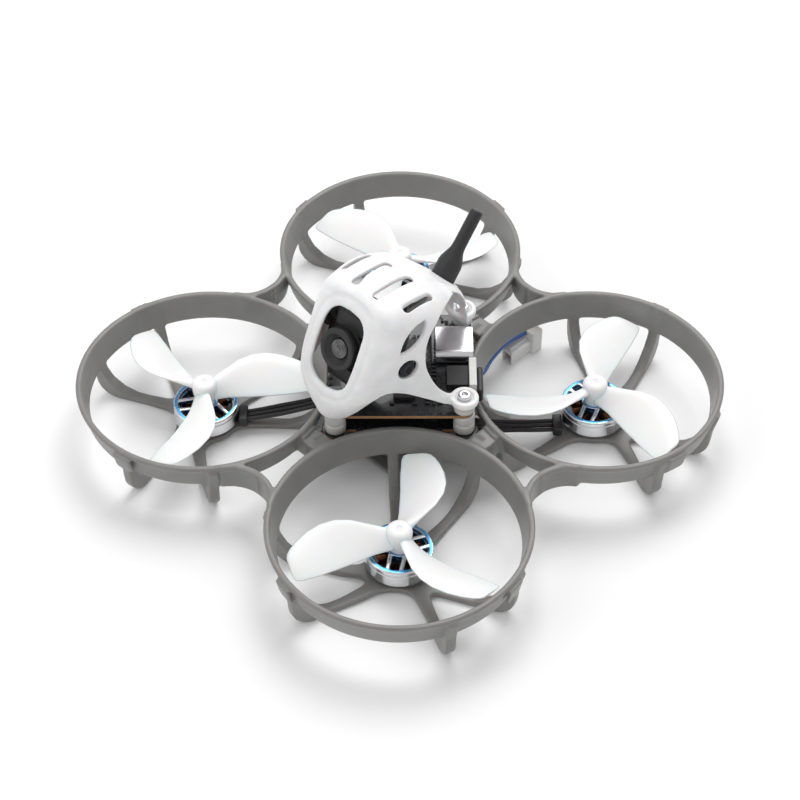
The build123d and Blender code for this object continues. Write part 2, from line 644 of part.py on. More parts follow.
with BuildPart() as canopy:
    add(canopy_outer)
    add(canopy_inner, mode=Mode.SUBTRACT)
    with BuildSketch(Plane.YZ.offset(-30)):
        with BuildLine():
            Spline(*ARCH)
            Polyline(ARCH[-1], (24, EAR_LOW), (24, 12), (-24, 12), (-24, NOSE_LOW), ARCH[0])
        make_face()
    extrude(amount=60, mode=Mode.SUBTRACT)
    with BuildSketch(Plane.YZ.offset(-30)):
        with BuildLine():
            Spline(*SIDE_OPENING)
            Line(SIDE_OPENING[-1], SIDE_OPENING[0])
        make_face()
    extrude(amount=60, mode=Mode.SUBTRACT)
    with BuildSketch(window_plane.offset(-3)):
        RectangleRounded(11.4, 18.4, 3.6)
    extrude(amount=6, mode=Mode.SUBTRACT)
    for middle, (slot_y, slot_length) in SLOTS.items():
        with BuildSketch(Plane.XY.offset(38)):
            with Locations((middle, slot_y)):
                SlotOverall(slot_length, 1.6, rotation=90)
        extrude(amount=8, mode=Mode.SUBTRACT)
    with BuildSketch(Plane.YZ.offset(-30)):
        with Locations((PIVOT[1], PIVOT[2])):
            Circle(PIVOT_SCREW_R + 0.08)
        with Locations((-7.6, 36.9)):
            SlotOverall(6.6, 1.9, rotation=35)
    extrude(amount=60, mode=Mode.SUBTRACT)
    with BuildSketch(Plane.XY.offset(EAR_LOW)):
        with GridLocations(4 * STACK_HOLE / sqrt(2), 1, 2, 1):
            Circle(3.0)
        with Locations((0, 2 * STACK_HOLE / sqrt(2))):
            Circle(3.0)
    extrude(amount=EAR_TOP - EAR_LOW)
    with Locations((0, -2 * STACK_HOLE / sqrt(2), (NOSE_LOW + EAR_TOP) / 2)):
        Cylinder(NOSE_R, EAR_TOP - NOSE_LOW)
    with Locations((0, -2 * STACK_HOLE / sqrt(2), EAR_LOW - 2)):
        Cylinder(GROMMET_R + 0.15, 4, mode=Mode.SUBTRACT)
    with Locations((0, -2 * STACK_HOLE / sqrt(2), EAR_TOP + 0.6)):
        Cylinder(SCREW_HEAD_R + 0.1, 1.2, mode=Mode.SUBTRACT)
    with Locations((0, 2 * STACK_HOLE / sqrt(2), EAR_TOP + 3)):
        Cylinder(SCREW_HEAD_R + 0.1, 6, mode=Mode.SUBTRACT)
    add(stack_drill(STACK_SCREW_R + 0.05), mode=Mode.SUBTRACT)
    add(antenna_hole, mode=Mode.SUBTRACT)
save(canopy, "canopy")


# ---- Camera, tilted nose up on two side screws ------------------------------------------
tilt = radians(CAMERA_TILT)
camera_plane = Plane(origin=PIVOT, x_dir=(1, 0, 0), z_dir=(0, -cos(tilt), sin(tilt)))
BODY_BACK = -4.5
BODY_FRONT = 3.6
LENS_FRONT = 7.2
LENS_R = 4.65
with BuildPart() as camera_body:
    with BuildSketch(camera_plane.offset(BODY_BACK)):
        body_square = Rectangle(2 * CAMERA_HALF, 2 * CAMERA_HALF)
        chamfer(body_square.vertices(), 2.0)
    extrude(amount=BODY_FRONT - BODY_BACK)
    with BuildSketch(camera_plane.offset(BODY_FRONT - 1.2)):
        Circle(LENS_R - 0.9)
    extrude(amount=1.2, mode=Mode.SUBTRACT)
save(camera_body, "camera_body")

with BuildPart() as camera_lens:
    with BuildSketch(camera_plane.offset(BODY_FRONT - 1.2)):
        Circle(LENS_R - 0.9)
    extrude(amount=1.2)
    with BuildSketch(camera_plane.offset(BODY_FRONT)):
        Circle(LENS_R)
    extrude(amount=LENS_FRONT - BODY_FRONT)
    chamfer(camera_lens.edges().group_by(Axis((0, 0, 0), camera_plane.z_dir))[-1], 0.4)
    with BuildSketch(camera_plane.offset(LENS_FRONT - 0.7)):
        Circle(2.9)
    extrude(amount=0.8, mode=Mode.SUBTRACT)
save(camera_lens, "camera_lens")

with BuildPart() as lens_glass:
    with BuildSketch(camera_plane.offset(LENS_FRONT - 0.7)):
        Circle(2.9)
    extrude(amount=0.5)
    fillet(lens_glass.edges().group_by(Axis((0, 0, 0), camera_plane.z_dir))[-1], 0.35)
save(lens_glass, "lens_glass")

with BuildPart() as camera_pivot_screws:
    for side in (-1, 1):
        screw_plane = Plane(origin=PIVOT, x_dir=(0, 1, 0), z_dir=(side, 0, 0))
        with BuildSketch(screw_plane.offset(CAMERA_HALF)):
            Circle(0.9)
        extrude(amount=3.0)
        with BuildSketch(screw_plane.offset(CAMERA_HALF + 3.0)):
            Circle(PIVOT_SCREW_R)
        extrude(amount=1.7)
        with BuildSketch(screw_plane.offset(CAMERA_HALF + 4.1)):
            RegularPolygon(0.8, 6)
        extrude(amount=0.7, mode=Mode.SUBTRACT)
save(camera_pivot_screws, "camera_pivot_screws")


# ---- Antenna ----------------------------------------------------------------------------
whip_length = antenna_line.length
with BuildPart() as antenna:
    with BuildSketch(Plane(origin=ANTENNA_BASE, x_dir=(1, 0, 0), z_dir=(0, -13.4, 7.7))):
        with BuildLine():
            Polyline(
                (0, -3.0),
                (SLEEVE_R - 0.4, -3.0),
                (SLEEVE_R, -2.4),
                (SLEEVE_R, 4.6),
                (WHIP_R, 8.2),
                (WHIP_R, whip_length),
                (0, whip_length),
                close=True,
            )
        make_face()
    revolve(axis=Axis(ANTENNA_BASE, antenna_line))
    with BuildLine() as coax_path:
        FilletPolyline(
            (0, 13.1, 29.6), (-0.6, 11.6, 25.6), (-1.8, 10.4, 21.0), (-1.8, 10.4, VTX_TOP), radius=1.8
        )
    with BuildSketch(Plane(coax_path.line @ 0, z_dir=coax_path.line % 0)):
        Circle(0.5)
    sweep()
save(antenna, "antenna")


# ---- Battery lead and its connector -----------------------------------------------------
def bend_radii(route):
    """The largest arc each corner of a route allows: 0.45 of its shorter run."""
    radii = []
    for before, here, after in zip(route, route[1:], route[2:]):
        run_in = Vector(*here) - Vector(*before)
        run_out = Vector(*after) - Vector(*here)
        half_turn = radians(run_in.get_angle(run_out)) / 2
        radii.append(0.45 * min(run_in.length, run_out.length) / tan(half_turn))
    return radii


for name, route in WIRE_ROUTES.items():
    with BuildPart() as battery_wire:
        with BuildLine() as wire_path:
            FilletPolyline(*route, radius=bend_radii(route))
        with BuildSketch(Plane(wire_path.line @ 0, z_dir=wire_path.line % 0)):
            Circle(WIRE_R)
        sweep()
    length = sum(edge.length for edge in wire_path.edges())
    print(name, "radii", [round(r, 1) for r in bend_radii(route)], "length", round(length, 1),
          "volume share", round(battery_wire.part.volume / (pi * WIRE_R**2 * length), 4))
    save(battery_wire, name)

with BuildPart() as battery_connector:
    with BuildSketch(Plane.XY):
        with Locations((3.4, 36.3)):
            Rectangle(5.0, 3.0)
    extrude(amount=5.9)
    with BuildSketch(Plane.XY):
        with Locations((3.4, 31.95)):
            Rectangle(3.0, 5.7)
    extrude(amount=3.3)
    with BuildSketch(Plane.XZ.offset(-29.1)):
        with Locations((3.4, 1.65)):
            Rectangle(2.2, 2.5)
    extrude(amount=-4.4, mode=Mode.SUBTRACT)
save(battery_connector, "battery_connector")
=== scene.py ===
import bpy, bmesh, math, random
import numpy as np
from mathutils import Vector, Matrix


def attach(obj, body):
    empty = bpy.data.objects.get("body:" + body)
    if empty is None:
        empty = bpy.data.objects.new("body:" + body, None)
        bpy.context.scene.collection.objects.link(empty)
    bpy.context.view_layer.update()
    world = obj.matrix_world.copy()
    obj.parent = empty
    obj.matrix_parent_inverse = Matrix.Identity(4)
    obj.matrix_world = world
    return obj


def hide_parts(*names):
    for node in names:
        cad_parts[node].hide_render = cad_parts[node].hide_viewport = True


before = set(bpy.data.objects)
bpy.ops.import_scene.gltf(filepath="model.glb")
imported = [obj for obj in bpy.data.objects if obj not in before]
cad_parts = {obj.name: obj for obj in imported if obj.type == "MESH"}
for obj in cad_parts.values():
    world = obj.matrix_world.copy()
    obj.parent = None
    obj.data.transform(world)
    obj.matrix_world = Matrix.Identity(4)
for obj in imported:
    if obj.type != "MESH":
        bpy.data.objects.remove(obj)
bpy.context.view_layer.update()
MM = 0.001
UP = Vector((0, 0, 1))
ROOT2 = math.sqrt(2)
REACH = 28.567                  # each motor's distance from the middle along X and Y, mm
CORNERS = {"front_left": (1, -1), "front_right": (-1, -1), "rear_left": (1, 1), "rear_right": (-1, 1)}
STACK = 18.385                  # each stack screw's distance from the middle, mm
BOARD_TURN = math.radians(45)
DUCT_ROOM = 1.0                 # the frame's inner face, measured from the middle of the duct wall
scene = bpy.context.scene

# ---- view
AZIMUTH, ELEVATION, DISTANCE, ROLL = 45.243, 45.157, 475.33, -0.202
LOOK_AT = Vector((-5.251, 5.266, -0.7))
FOCAL, SENSOR = 100.48, 36.0
az, el = math.radians(AZIMUTH), math.radians(ELEVATION)
back = Vector((math.sin(az) * math.cos(el), -math.cos(az) * math.cos(el), math.sin(el)))
camera_data = bpy.data.cameras.new("camera")
camera_data.lens, camera_data.sensor_width = FOCAL, SENSOR
camera_data.clip_start, camera_data.clip_end = 0.01, 20.0
camera = bpy.data.objects.new("camera", camera_data)
scene.collection.objects.link(camera)
camera.location = (LOOK_AT + back * DISTANCE) * MM
turn = (-back).to_track_quat("-Z", "Y").to_matrix() @ Matrix.Rotation(math.radians(ROLL), 3, "Z")
camera.rotation_euler = turn.to_euler()
scene.camera = camera


# ---- materials
class Mat:
    """A node material with a Principled shader and helpers for procedural detail."""
    def __init__(self, name, color, rough=0.5, **sockets):
        self.m = bpy.data.materials.new(name)
        self.m.use_nodes = True
        self.t = self.m.node_tree
        self.n, self.l = self.t.nodes, self.t.links
        self.b = self.n["Principled BSDF"]
        self.color = (*color, 1.0)
        self.b.inputs["Base Color"].default_value = self.color
        self.b.inputs["Roughness"].default_value = rough
        for key, value in sockets.items():
            self.b.inputs[key.replace("_", " ")].default_value = value
        self.coord = self.n.new("ShaderNodeTexCoord").outputs["Object"]

    def noise(self, scale, detail, stretch=None):
        node = self.n.new("ShaderNodeTexNoise")
        node.inputs["Scale"].default_value = scale
        node.inputs["Detail"].default_value = detail
        source = self.coord
        if stretch:
            mapping = self.n.new("ShaderNodeMapping")
            mapping.inputs["Scale"].default_value = stretch
            self.l.new(source, mapping.inputs["Vector"])
            source = mapping.outputs["Vector"]
        self.l.new(source, node.inputs["Vector"])
        return node.outputs["Fac"]

    def vary(self, amount, scale):
        """Slight cloudy variation of the colour."""
        c = np.array(self.color[:3])
        fac = self.noise(scale, 3.0)
        node = self.n.new("ShaderNodeValToRGB")
        dark, light = node.color_ramp.elements
        dark.position, light.position = 0.3, 0.7
        dark.color = (*(c * (1 - amount)), 1)
        light.color = (*np.minimum(c * (1 + amount), 1), 1)
        self.l.new(fac, node.inputs["Fac"])
        self.l.new(node.outputs["Color"], self.b.inputs["Base Color"])
        return self

    def rough(self, low, high, scale, stretch=None):
        """Roughness that wanders between two values."""
        node = self.n.new("ShaderNodeMapRange")
        node.inputs["To Min"].default_value, node.inputs["To Max"].default_value = low, high
        self.l.new(self.noise(scale, 5.0, stretch), node.inputs["Value"])
        self.l.new(node.outputs["Result"], self.b.inputs["Roughness"])
        return self

    def bump(self, scale, strength, distance=0.00003, stretch=None):
        """Fine surface texture."""
        node = self.n.new("ShaderNodeBump")
        node.inputs["Strength"].default_value = strength
        node.inputs["Distance"].default_value = distance
        self.l.new(self.noise(scale, 4.0, stretch), node.inputs["Height"])
        self.l.new(node.outputs["Normal"], self.b.inputs["Normal"])
        return self


def plastic(name, color, rough=0.42, grain=1.0, **k):
    return Mat(name, color, rough, **k).vary(0.05, 260).rough(rough - 0.06, rough + 0.08, 900).bump(
        2600, 0.10 * grain, 0.00002)


def metal(name, color, rough=0.25, **k):
    return Mat(name, color, rough, Metallic=1.0, **k).vary(0.06, 500).rough(
        rough - 0.05, rough + 0.1, 700, (1, 1, 14)).bump(900, 0.08, 0.00001, (1, 1, 20))


M = {
    "frame": plastic("smoke_grey_plastic", (0.305, 0.302, 0.293), 0.36, Subsurface_Weight=0.35,
                     Subsurface_Scale=0.0015, Transmission_Weight=0.30, IOR=1.48),
    "canopy": plastic("white_canopy", (0.86, 0.865, 0.87), 0.38, 1.4, Subsurface_Weight=0.25,
                      Subsurface_Scale=0.001),
    "prop": Mat("white_blade", (0.94, 0.942, 0.945), 0.24, Subsurface_Weight=0.35,
                Subsurface_Scale=0.0012, IOR=1.45).vary(0.012, 60).rough(0.2, 0.3, 300),
    # pale tin colour, brightened as a painted highlight on the tiny parts' ends
    "pad": plastic("tinned_pad_painted_highlight", (0.80, 0.76, 0.56), 0.4),
    "bell_side": metal("turned_bell", (0.78, 0.79, 0.80), 0.2),
    "bell_blue": metal("blue_anodised", (0.10, 0.42, 0.80), 0.26),
    "steel": metal("bright_steel", (0.72, 0.72, 0.74), 0.22),
    "black_steel": metal("black_screw", (0.035, 0.035, 0.04), 0.32),
    "alloy": metal("mount_alloy", (0.62, 0.63, 0.65), 0.3),
    "stator": plastic("stator_lacquer", (0.025, 0.025, 0.03), 0.4),
    "copper": metal("enamelled_copper", (0.20, 0.075, 0.03), 0.4),
    "magnet": metal("magnet_nickel", (0.5, 0.5, 0.52), 0.3),
    "grommet": plastic("grey_grommet", (0.56, 0.55, 0.53), 0.55, 2.0, Subsurface_Weight=0.2,
                       Subsurface_Scale=0.0008),
    "board": Mat("black_solder_mask", (0.012, 0.013, 0.016), 0.28, Coat_Weight=0.3),
    "edge": plastic("board_edge", (0.30, 0.15, 0.06), 0.6),
    "chip": plastic("chip_black", (0.014, 0.014, 0.015), 0.5),
    "gold": metal("gold_pad", (0.85, 0.60, 0.25), 0.3),
    "solder": metal("solder_tin", (0.68, 0.69, 0.70), 0.28),
    "ceramic": plastic("ceramic_brown", (0.32, 0.21, 0.12), 0.5),
    "white_part": plastic("connector_ivory", (0.76, 0.755, 0.735), 0.42, Subsurface_Weight=0.2,
                          Subsurface_Scale=0.0008),
    "camera": plastic("camera_black", (0.018, 0.018, 0.019), 0.5),
    "antenna": plastic("antenna_black", (0.02, 0.02, 0.022), 0.5),
    "wire_black": plastic("silicone_black", (0.015, 0.015, 0.017), 0.42),
    "wire_blue": plastic("silicone_blue", (0.035, 0.12, 0.36), 0.38),
    "iris": plastic("lens_iris", (0.07, 0.07, 0.073), 0.3),
    "glass": Mat("coated_glass", (0.02, 0.02, 0.024), 0.06, Coat_Weight=1.0, IOR=1.6).vary(0.5, 300),
    # near-black painted shadow for the dark insides of sockets
    "shadow": plastic("socket_painted_shadow", (0.01, 0.01, 0.01), 0.7),
}
M["board"].vary(0.35, 700).rough(0.22, 0.38, 500).bump(1500, 0.12, 0.00002)


def paint(obj, *keys):
    """Gives an object the named materials in place of its own."""
    obj.data.materials.clear()
    for key in keys:
        obj.data.materials.append(M[key].m)
    return obj


def place(name, data, body, slot, *keys, replaces=()):
    """Adds a piece that rides on a body and stands for the CAD nodes it replaces."""
    obj = bpy.data.objects.new(name, data)
    scene.collection.objects.link(obj)
    if keys:
        paint(obj, *keys)
    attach(obj, body)
    if replaces:
        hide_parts(*replaces)
    return obj


def spline(name, points, radius, body, slot, key, replaces=()):
    """A round wire along a NURBS line through the control points, in millimetres."""
    curve = bpy.data.curves.new(name, "CURVE")
    curve.dimensions = "3D"
    line = curve.splines.new("NURBS")
    line.points.add(len(points) - 1)
    for point, at in zip(line.points, points):
        point.co = (at[0] * MM, at[1] * MM, at[2] * MM, 1)
    line.order_u = 3
    line.use_endpoint_u = True
    line.resolution_u = curve.resolution_u = 16
    curve.bevel_depth = radius * MM
    curve.bevel_resolution = 5
    curve.use_fill_caps = True
    return place(name, curve, body, slot, key, replaces=replaces)


# ---- battery lead, a pair of free cords
WIRE_R = 0.6
WIRES = {
    "battery_lead_blue": [
        (1.2, 6.8, 12.5), (2.6, 10.2, 13.4), (4.4, 13.4, 13.2), (5.9, 15.1, 11.0),
        (6.4, 15.9, 8.7), (6.9, 16.7, 7.2), (6.5, 18.8, 6.8), (5.3, 21.2, 6.7),
        (4.3, 24.4, 6.5), (3.4, 27.8, 6.1), (3.1, 31.2, 5.5), (3.2, 34.66, 5.0),
    ],
    "battery_lead_black": [
        (-0.2, 7.4, 12.5), (1.2, 10.9, 13.2), (3.0, 14.1, 12.6), (4.5, 16.0, 10.4),
        (5.2, 16.9, 8.0), (5.7, 17.7, 6.2), (5.5, 19.6, 5.7), (4.5, 21.9, 5.6),
        (3.5, 25.1, 5.4), (2.5, 28.4, 5.2), (1.8, 31.6, 5.1), (1.75, 34.66, 5.0),
    ],
}


# ---- signed-distance modelling
class Field:
    """A block of sample points, in millimetres, for shapes built from smooth unions."""
    def __init__(self, low, high, step):
        self.low, self.step = np.array(low, float), step
        axes = [np.arange(a, b + step, step) for a, b in zip(low, high)]
        self.axes = axes
        self.x = axes[0][:, None, None]
        self.y = axes[1][None, :, None]
        self.z = axes[2][None, None, :]

    def mesh(self, d, name):
        """Surface nets over the field d, each point drawn onto the surface."""
        inside = d < 0
        corner = [(i, j, k) for i in (0, 1) for j in (0, 1) for k in (0, 1)]
        nx, ny, nz = (s - 1 for s in d.shape)
        count = sum(inside[i:i + nx, j:j + ny, k:k + nz].astype(np.int8) for i, j, k in corner)
        active = (count > 0) & (count < 8)
        cell = np.argwhere(active)
        value = {c: d[cell[:, 0] + c[0], cell[:, 1] + c[1], cell[:, 2] + c[2]] for c in corner}
        total = np.zeros((len(cell), 3))
        hits = np.zeros(len(cell))
        for a in corner:
            for axis in range(3):
                if a[axis]:
                    continue
                b = tuple(1 if n == axis else a[n] for n in range(3))
                cross = (value[a] < 0) != (value[b] < 0)
                share = np.where(cross, value[a] / np.where(cross, value[a] - value[b], 1), 0)
                for n in range(3):
                    total[:, n] += np.where(cross, a[n] + (share if n == axis else 0), 0)
                hits += cross
        at = total / hits[:, None]
        for _ in range(2):
            u, v, w = at.T
            f = np.zeros(len(cell))
            g = np.zeros((len(cell), 3))
            for i, j, k in corner:
                a = u if i else 1 - u
                b = v if j else 1 - v
                c = w if k else 1 - w
                q = value[(i, j, k)]
                f += q * a * b * c
                g[:, 0] += q * (1 if i else -1) * b * c
                g[:, 1] += q * (1 if j else -1) * a * c
                g[:, 2] += q * (1 if k else -1) * a * b
            at = np.clip(at - (f / np.maximum((g**2).sum(1), 1e-9))[:, None] * g, 0, 1)
        points = ((cell + at) * self.step + self.low) * MM
        ident = np.full(active.shape, -1, np.int64)
        ident[active] = np.arange(len(cell))
        faces = []
        for axis in range(3):
            o1, o2 = (axis + 1) % 3, (axis + 2) % 3
            cut = [slice(None)] * 3
            nxt = [slice(None)] * 3
            cut[axis], nxt[axis] = slice(0, -1), slice(1, None)
            a, b = inside[tuple(cut)], inside[tuple(nxt)]
            edge = np.argwhere(a != b)
            edge = edge[(edge[:, o1] > 0) & (edge[:, o2] > 0) & (edge[:, o1] < d.shape[o1] - 1)
                        & (edge[:, o2] < d.shape[o2] - 1)]
            outward = a[tuple(edge.T)]
            ring = []
            for s1, s2 in ((-1, -1), (0, -1), (0, 0), (-1, 0)):
                at_cell = edge.copy()
                at_cell[:, o1] += s1
                at_cell[:, o2] += s2
                ring.append(ident[tuple(at_cell.T)])
            quad = np.stack(ring, 1)
            quad[~outward] = quad[~outward][:, ::-1]
            faces.append(quad)
        faces = np.concatenate(faces)
        mesh = bpy.data.meshes.new(name)
        mesh.vertices.add(len(points))
        mesh.vertices.foreach_set("co", points.astype(np.float32).ravel())
        mesh.loops.add(4 * len(faces))
        mesh.loops.foreach_set("vertex_index", faces.astype(np.int32).ravel())
        mesh.polygons.add(len(faces))
        mesh.polygons.foreach_set("loop_start", np.arange(0, 4 * len(faces), 4, dtype=np.int32))
        mesh.polygons.foreach_set("loop_total", np.full(len(faces), 4, np.int32))
        mesh.update(calc_edges=True)
        mesh.validate()
        mesh.shade_smooth()
        return mesh


FAR = 1e9


def join(a, b, k=0.5):
    """Smooth union."""
    h = np.clip(0.5 + 0.5 * (b - a) / k, 0, 1)
    return b + (a - b) * h - k * h * (1 - h)


def cut(a, b, k=0.2):
    """a with b smoothly taken away."""
    return -join(-a, b, k)


def both(a, b, k=0.2):
    """Smooth intersection."""
    return -join(-a, -b, k)


def slab(v, low, high):
    return np.abs(v - (low + high) / 2) - (high - low) / 2


def block(f, low, high, r=0.25):
    q = [slab(v, a + r, b - r) for v, a, b in zip((f.x, f.y, f.z), low, high)]
    q = np.broadcast_arrays(*q)
    out = np.sqrt(sum(np.maximum(v, 0)**2 for v in q))
    return out + np.minimum(np.maximum.reduce(q), 0) - r


def box2(u, v, cu, cv, hu, hv, r=0.5):
    a, b = np.abs(u - cu) - hu + r, np.abs(v - cv) - hv + r
    return np.hypot(np.maximum(a, 0), np.maximum(b, 0)) + np.minimum(np.maximum(a, b), 0) - r


def capsule2(u, v, p, q):
    p, q = np.array(p, float), np.array(q, float)
    d = q - p
    t = np.clip(((u - p[0]) * d[0] + (v - p[1]) * d[1]) / max((d**2).sum(), 1e-9), 0, 1)
    return np.hypot(u - p[0] - t * d[0], v - p[1] - t * d[1])


def ribbon(u, v, points):
    """Distance to the straight runs between the points."""
    d = np.full(np.broadcast(u, v).shape, FAR)
    for a, b in zip(points, points[1:]):
        d = np.minimum(d, capsule2(u, v, a, b))
    return d


def smooth_line(points, n=8):
    """More points along a Catmull-Rom curve through the given ones."""
    p = np.array(points, float)
    p = np.vstack([2 * p[0] - p[1], p, 2 * p[-1] - p[-2]])
    out = []
    for i in range(1, len(p) - 2):
        for t in np.linspace(0, 1, n, endpoint=False):
            out.append(0.5 * (2 * p[i] + (p[i + 1] - p[i - 1]) * t
                              + (2 * p[i - 1] - 5 * p[i] + 4 * p[i + 1] - p[i + 2]) * t**2
                              + (3 * p[i] - p[i - 1] - 3 * p[i + 1] + p[i + 2]) * t**3))
    return [tuple(v) for v in out] + [tuple(p[-2])]


def polygon(u, v, points):
    """Signed distance to a closed outline."""
    u, v = np.broadcast_arrays(u, v)
    closed = points + points[:1]
    d = ribbon(u, v, closed)
    odd = np.zeros(u.shape, bool)
    for (au, av), (bu, bv) in zip(closed, closed[1:]):
        if av != bv:
            crossing = ((av > v) != (bv > v)) & (u < (bu - au) * (v - av) / (bv - av) + au)
            odd ^= crossing
    return np.where(odd, -d, d)


# ---- the ducted frame
RING_LOW, RING_TOP, R_LOW, R_HIGH = 7.7, 13.55, 24.8, 26.1
WEB_MIDDLE = 39.4               # how far out a web is at its middle
STRUT_R = (5.5, 14.0, 26.9)     # the radii at which each strut's bearing and width are given
STRUT_WIDTH = (3.4, 2.3, 2.2)
STRUTS = [(-14, -19, -22.5), (0, 12, 17.5), (92, 95.5, 97.5), (138, 138, 138), (-120, -134, -142.5),
          (-85, -95, -100)]     # degrees
BEND_R, BEND_AT = 4.2, (20.6, 4.8)
MOUNT_HOLE_AT, SHAFT_HOLE_R = 3.3, 1.6


def build_frame():
    f = Field((-0.6, -0.6, -0.4), (55.8, 55.8, 14.0), 0.3)
    x, y, z = f.x, f.y, f.z
    u, v = x - REACH, y - REACH
    rho = np.hypot(u, v)
    turn = np.arctan2(-v, u)
    wall_r = R_LOW + np.clip((z - RING_LOW) / (RING_TOP - RING_LOW), -0.4, 1.1) * (R_HIGH - R_LOW)
    outside = wall_r - 0.5 - rho
    ring = box2(rho - wall_r, z, -0.5, (RING_LOW + RING_TOP) / 2, 0.5, (RING_TOP - RING_LOW) / 2, 0.32)
    lip = box2(rho - wall_r, z, -0.32, RING_TOP - 0.55, 0.62, 0.5, 0.3)
    d = join(ring, lip, 0.3)
    # the struts' upright profile, in radius and height
    p = smooth_line([(0.0, 0.9), (8.0, 0.9), (14.0, 0.62), (20.6, 0.6)], 3)
    prof = ribbon(rho, z, p)
    bend = [(BEND_AT[0] + BEND_R * math.sin(t), BEND_AT[1] - BEND_R * math.cos(t))
            for t in np.linspace(0, math.pi / 2, 7)]
    prof = np.minimum(prof, ribbon(rho, z, bend))
    prof = np.minimum(prof, ribbon(rho, z, [(24.8, 4.8), (25.05, 7.7), (26.1, 12.1)]))
    gusset = [(15.0, 0.3), (BEND_AT[0], 0.2)]
    gusset += [(BEND_AT[0] + 4.5 * math.sin(t), BEND_AT[1] - 4.6 * math.cos(t))
               for t in np.linspace(0.2, math.pi / 2, 6)]
    gusset += [(25.4, 8.6), (24.1, 8.6), (23.5, 6.6), (22.3, 4.4), (20.0, 2.4), (17.0, 1.2), (15.0, 1.0)]
    prof = join(prof - 0.6, polygon(rho[:, :, :1] + 0 * z, z + 0 * rho, gusset), 0.3)
    plan = rho - 6.4
    half_width = np.interp(rho, STRUT_R, STRUT_WIDTH) / 2
    for angles in STRUTS:
        fit = np.polyfit(STRUT_R, np.radians(angles), 2)
        centre = np.polyval(fit, np.clip(rho, 5, 27))
        off = (turn - centre + math.pi) % (2 * math.pi) - math.pi
        side = np.where(np.abs(off) < 1.5, rho * np.sin(np.clip(np.abs(off), 0, 1.5)), rho) - half_width
        plan = join(plan, np.where(rho < 4, 9, side), 2.6)
    struts = both(prof, plan, 0.35)
    d = join(d, struts, 0.45)
    # webs
    gap = WEB_MIDDLE - REACH
    web_r = (REACH**2 + gap**2 - R_HIGH**2) / (2 * (R_HIGH - gap))
    centre = 39.4 + web_r
    touch = REACH + (centre - REACH) * R_HIGH / (R_HIGH + web_r)
    for s, t in ((x, y), (y, x)):
        web = np.abs(np.hypot(s, t - centre) - web_r - 0.5) - 0.5
        web = both(web, slab(z, RING_LOW, RING_TOP), 0.3)
        ledge = both(np.abs(np.hypot(s, t - centre) - web_r - 0.35) - 0.65, slab(z, 12.5, RING_TOP), 0.3)
        web = join(web, ledge, 0.3)
        web = both(web, t - touch, 0.1)
        web = both(web, outside, 0.1)
        d = join(d, web, 0.6)
        neck = both(np.maximum(slab(t, 21.4, 25.9), s - 6 + 0 * t), slab(z, 8.1, 12.4), 0.4)
        ridge = both(np.abs(rho - wall_r - 0.9) - 0.35, slab(t, 21.6, 25.7), 0.2)
        ridge = both(ridge, slab(z, 9, 12.9), 0.2)
        neck = join(neck, ridge, 0.2)
        neck = both(neck, outside, 0.1)
        neck = cut(neck, np.hypot(s, t - 22.9) - 0.6, 0.15)
        d = join(d, neck, 0.6)
    # middle deck, its arms and standoffs
    deck = np.minimum(box2(x, y, 0, 0, 10.6, 12.9, 1.0),
                      np.minimum(box2(x, y, 0, 0, 21.8, 7.4, 1.0), box2(x, y, 0, 0, 7.4, 21.8, 1.0)))
    diamond = (np.abs(x - 5.8) + np.abs(y - 5.8) - 4.2) * 0.71
    deck = cut(deck, diamond, 0.5)
    deck = cut(deck, box2(x, y, 5.3, 17.4, 2.3, 3.2, 0.6), 0.3)
    deck = cut(deck, box2(x, y, 17.4, 5.3, 3.2, 2.3, 0.6), 0.3)
    deck = both(deck, slab(z, 9.0, 10.2), 0.25)
    deck = both(deck, outside, 0.1)
    for cx, cy in ((STACK, 0), (0, STACK)):
        post = both(np.hypot(x - cx, y - cy) - 2.7, slab(z, 9.6, 10.8), 0.25)
        deck = join(deck, post, 0.5)
        deck = cut(deck, np.hypot(x - cx, y - cy) - 0.75, 0.1)
    tray = block(f, (-12, -13.4, 0.8), (10.6, 12.9, 9.6), 0.5)
    tray = cut(tray, block(f, (-12, -16, 1.9), (9.5, 16, 9.05), 0.5), 0.2)
    tray = cut(tray, np.maximum(box2(x, y, 0, 6.3, 6.25, 4.3, 2.0), z - 1.95), 0.3)
    tray = cut(tray, np.maximum(box2(y, z, 8.4, 8.0, 2.2, 2.4, 0.8), 6 - x), 0.3)
    tray = cut(tray, diamond, 0.5)
    deck = join(deck, tray, 0.5)
    d = join(d, deck, 0.5)
    # clear the ducts, then drill the plate
    d = cut(d, np.maximum(rho - wall_r + DUCT_ROOM, 7.3 - z), 0.12)
    for k in range(3):
        a = k * 2 * math.pi / 3
        hole = np.hypot(u - MOUNT_HOLE_AT * math.cos(a), v - MOUNT_HOLE_AT * math.sin(a)) - 0.8
        d = cut(d, np.maximum(hole, z - 2), 0.1)
    d = cut(d, np.maximum(rho - SHAFT_HOLE_R, z - 2), 0.1)
    mesh = f.mesh(d, "ducted_frame")
    obj = place("ducted_frame", mesh, "frame", "frame_plastic", "frame", replaces=(
        [f"duct_ring_{c}" for c in CORNERS] + [f"motor_mount_{c}" for c in CORNERS]
        + ["duct_webs", "center_deck"]))
    mirror = obj.modifiers.new("mirror", "MIRROR")
    mirror.use_axis = (True, True, False)
    mirror.use_bisect_axis = (True, True, False)
    mirror.merge_threshold = 0.00005


build_frame()

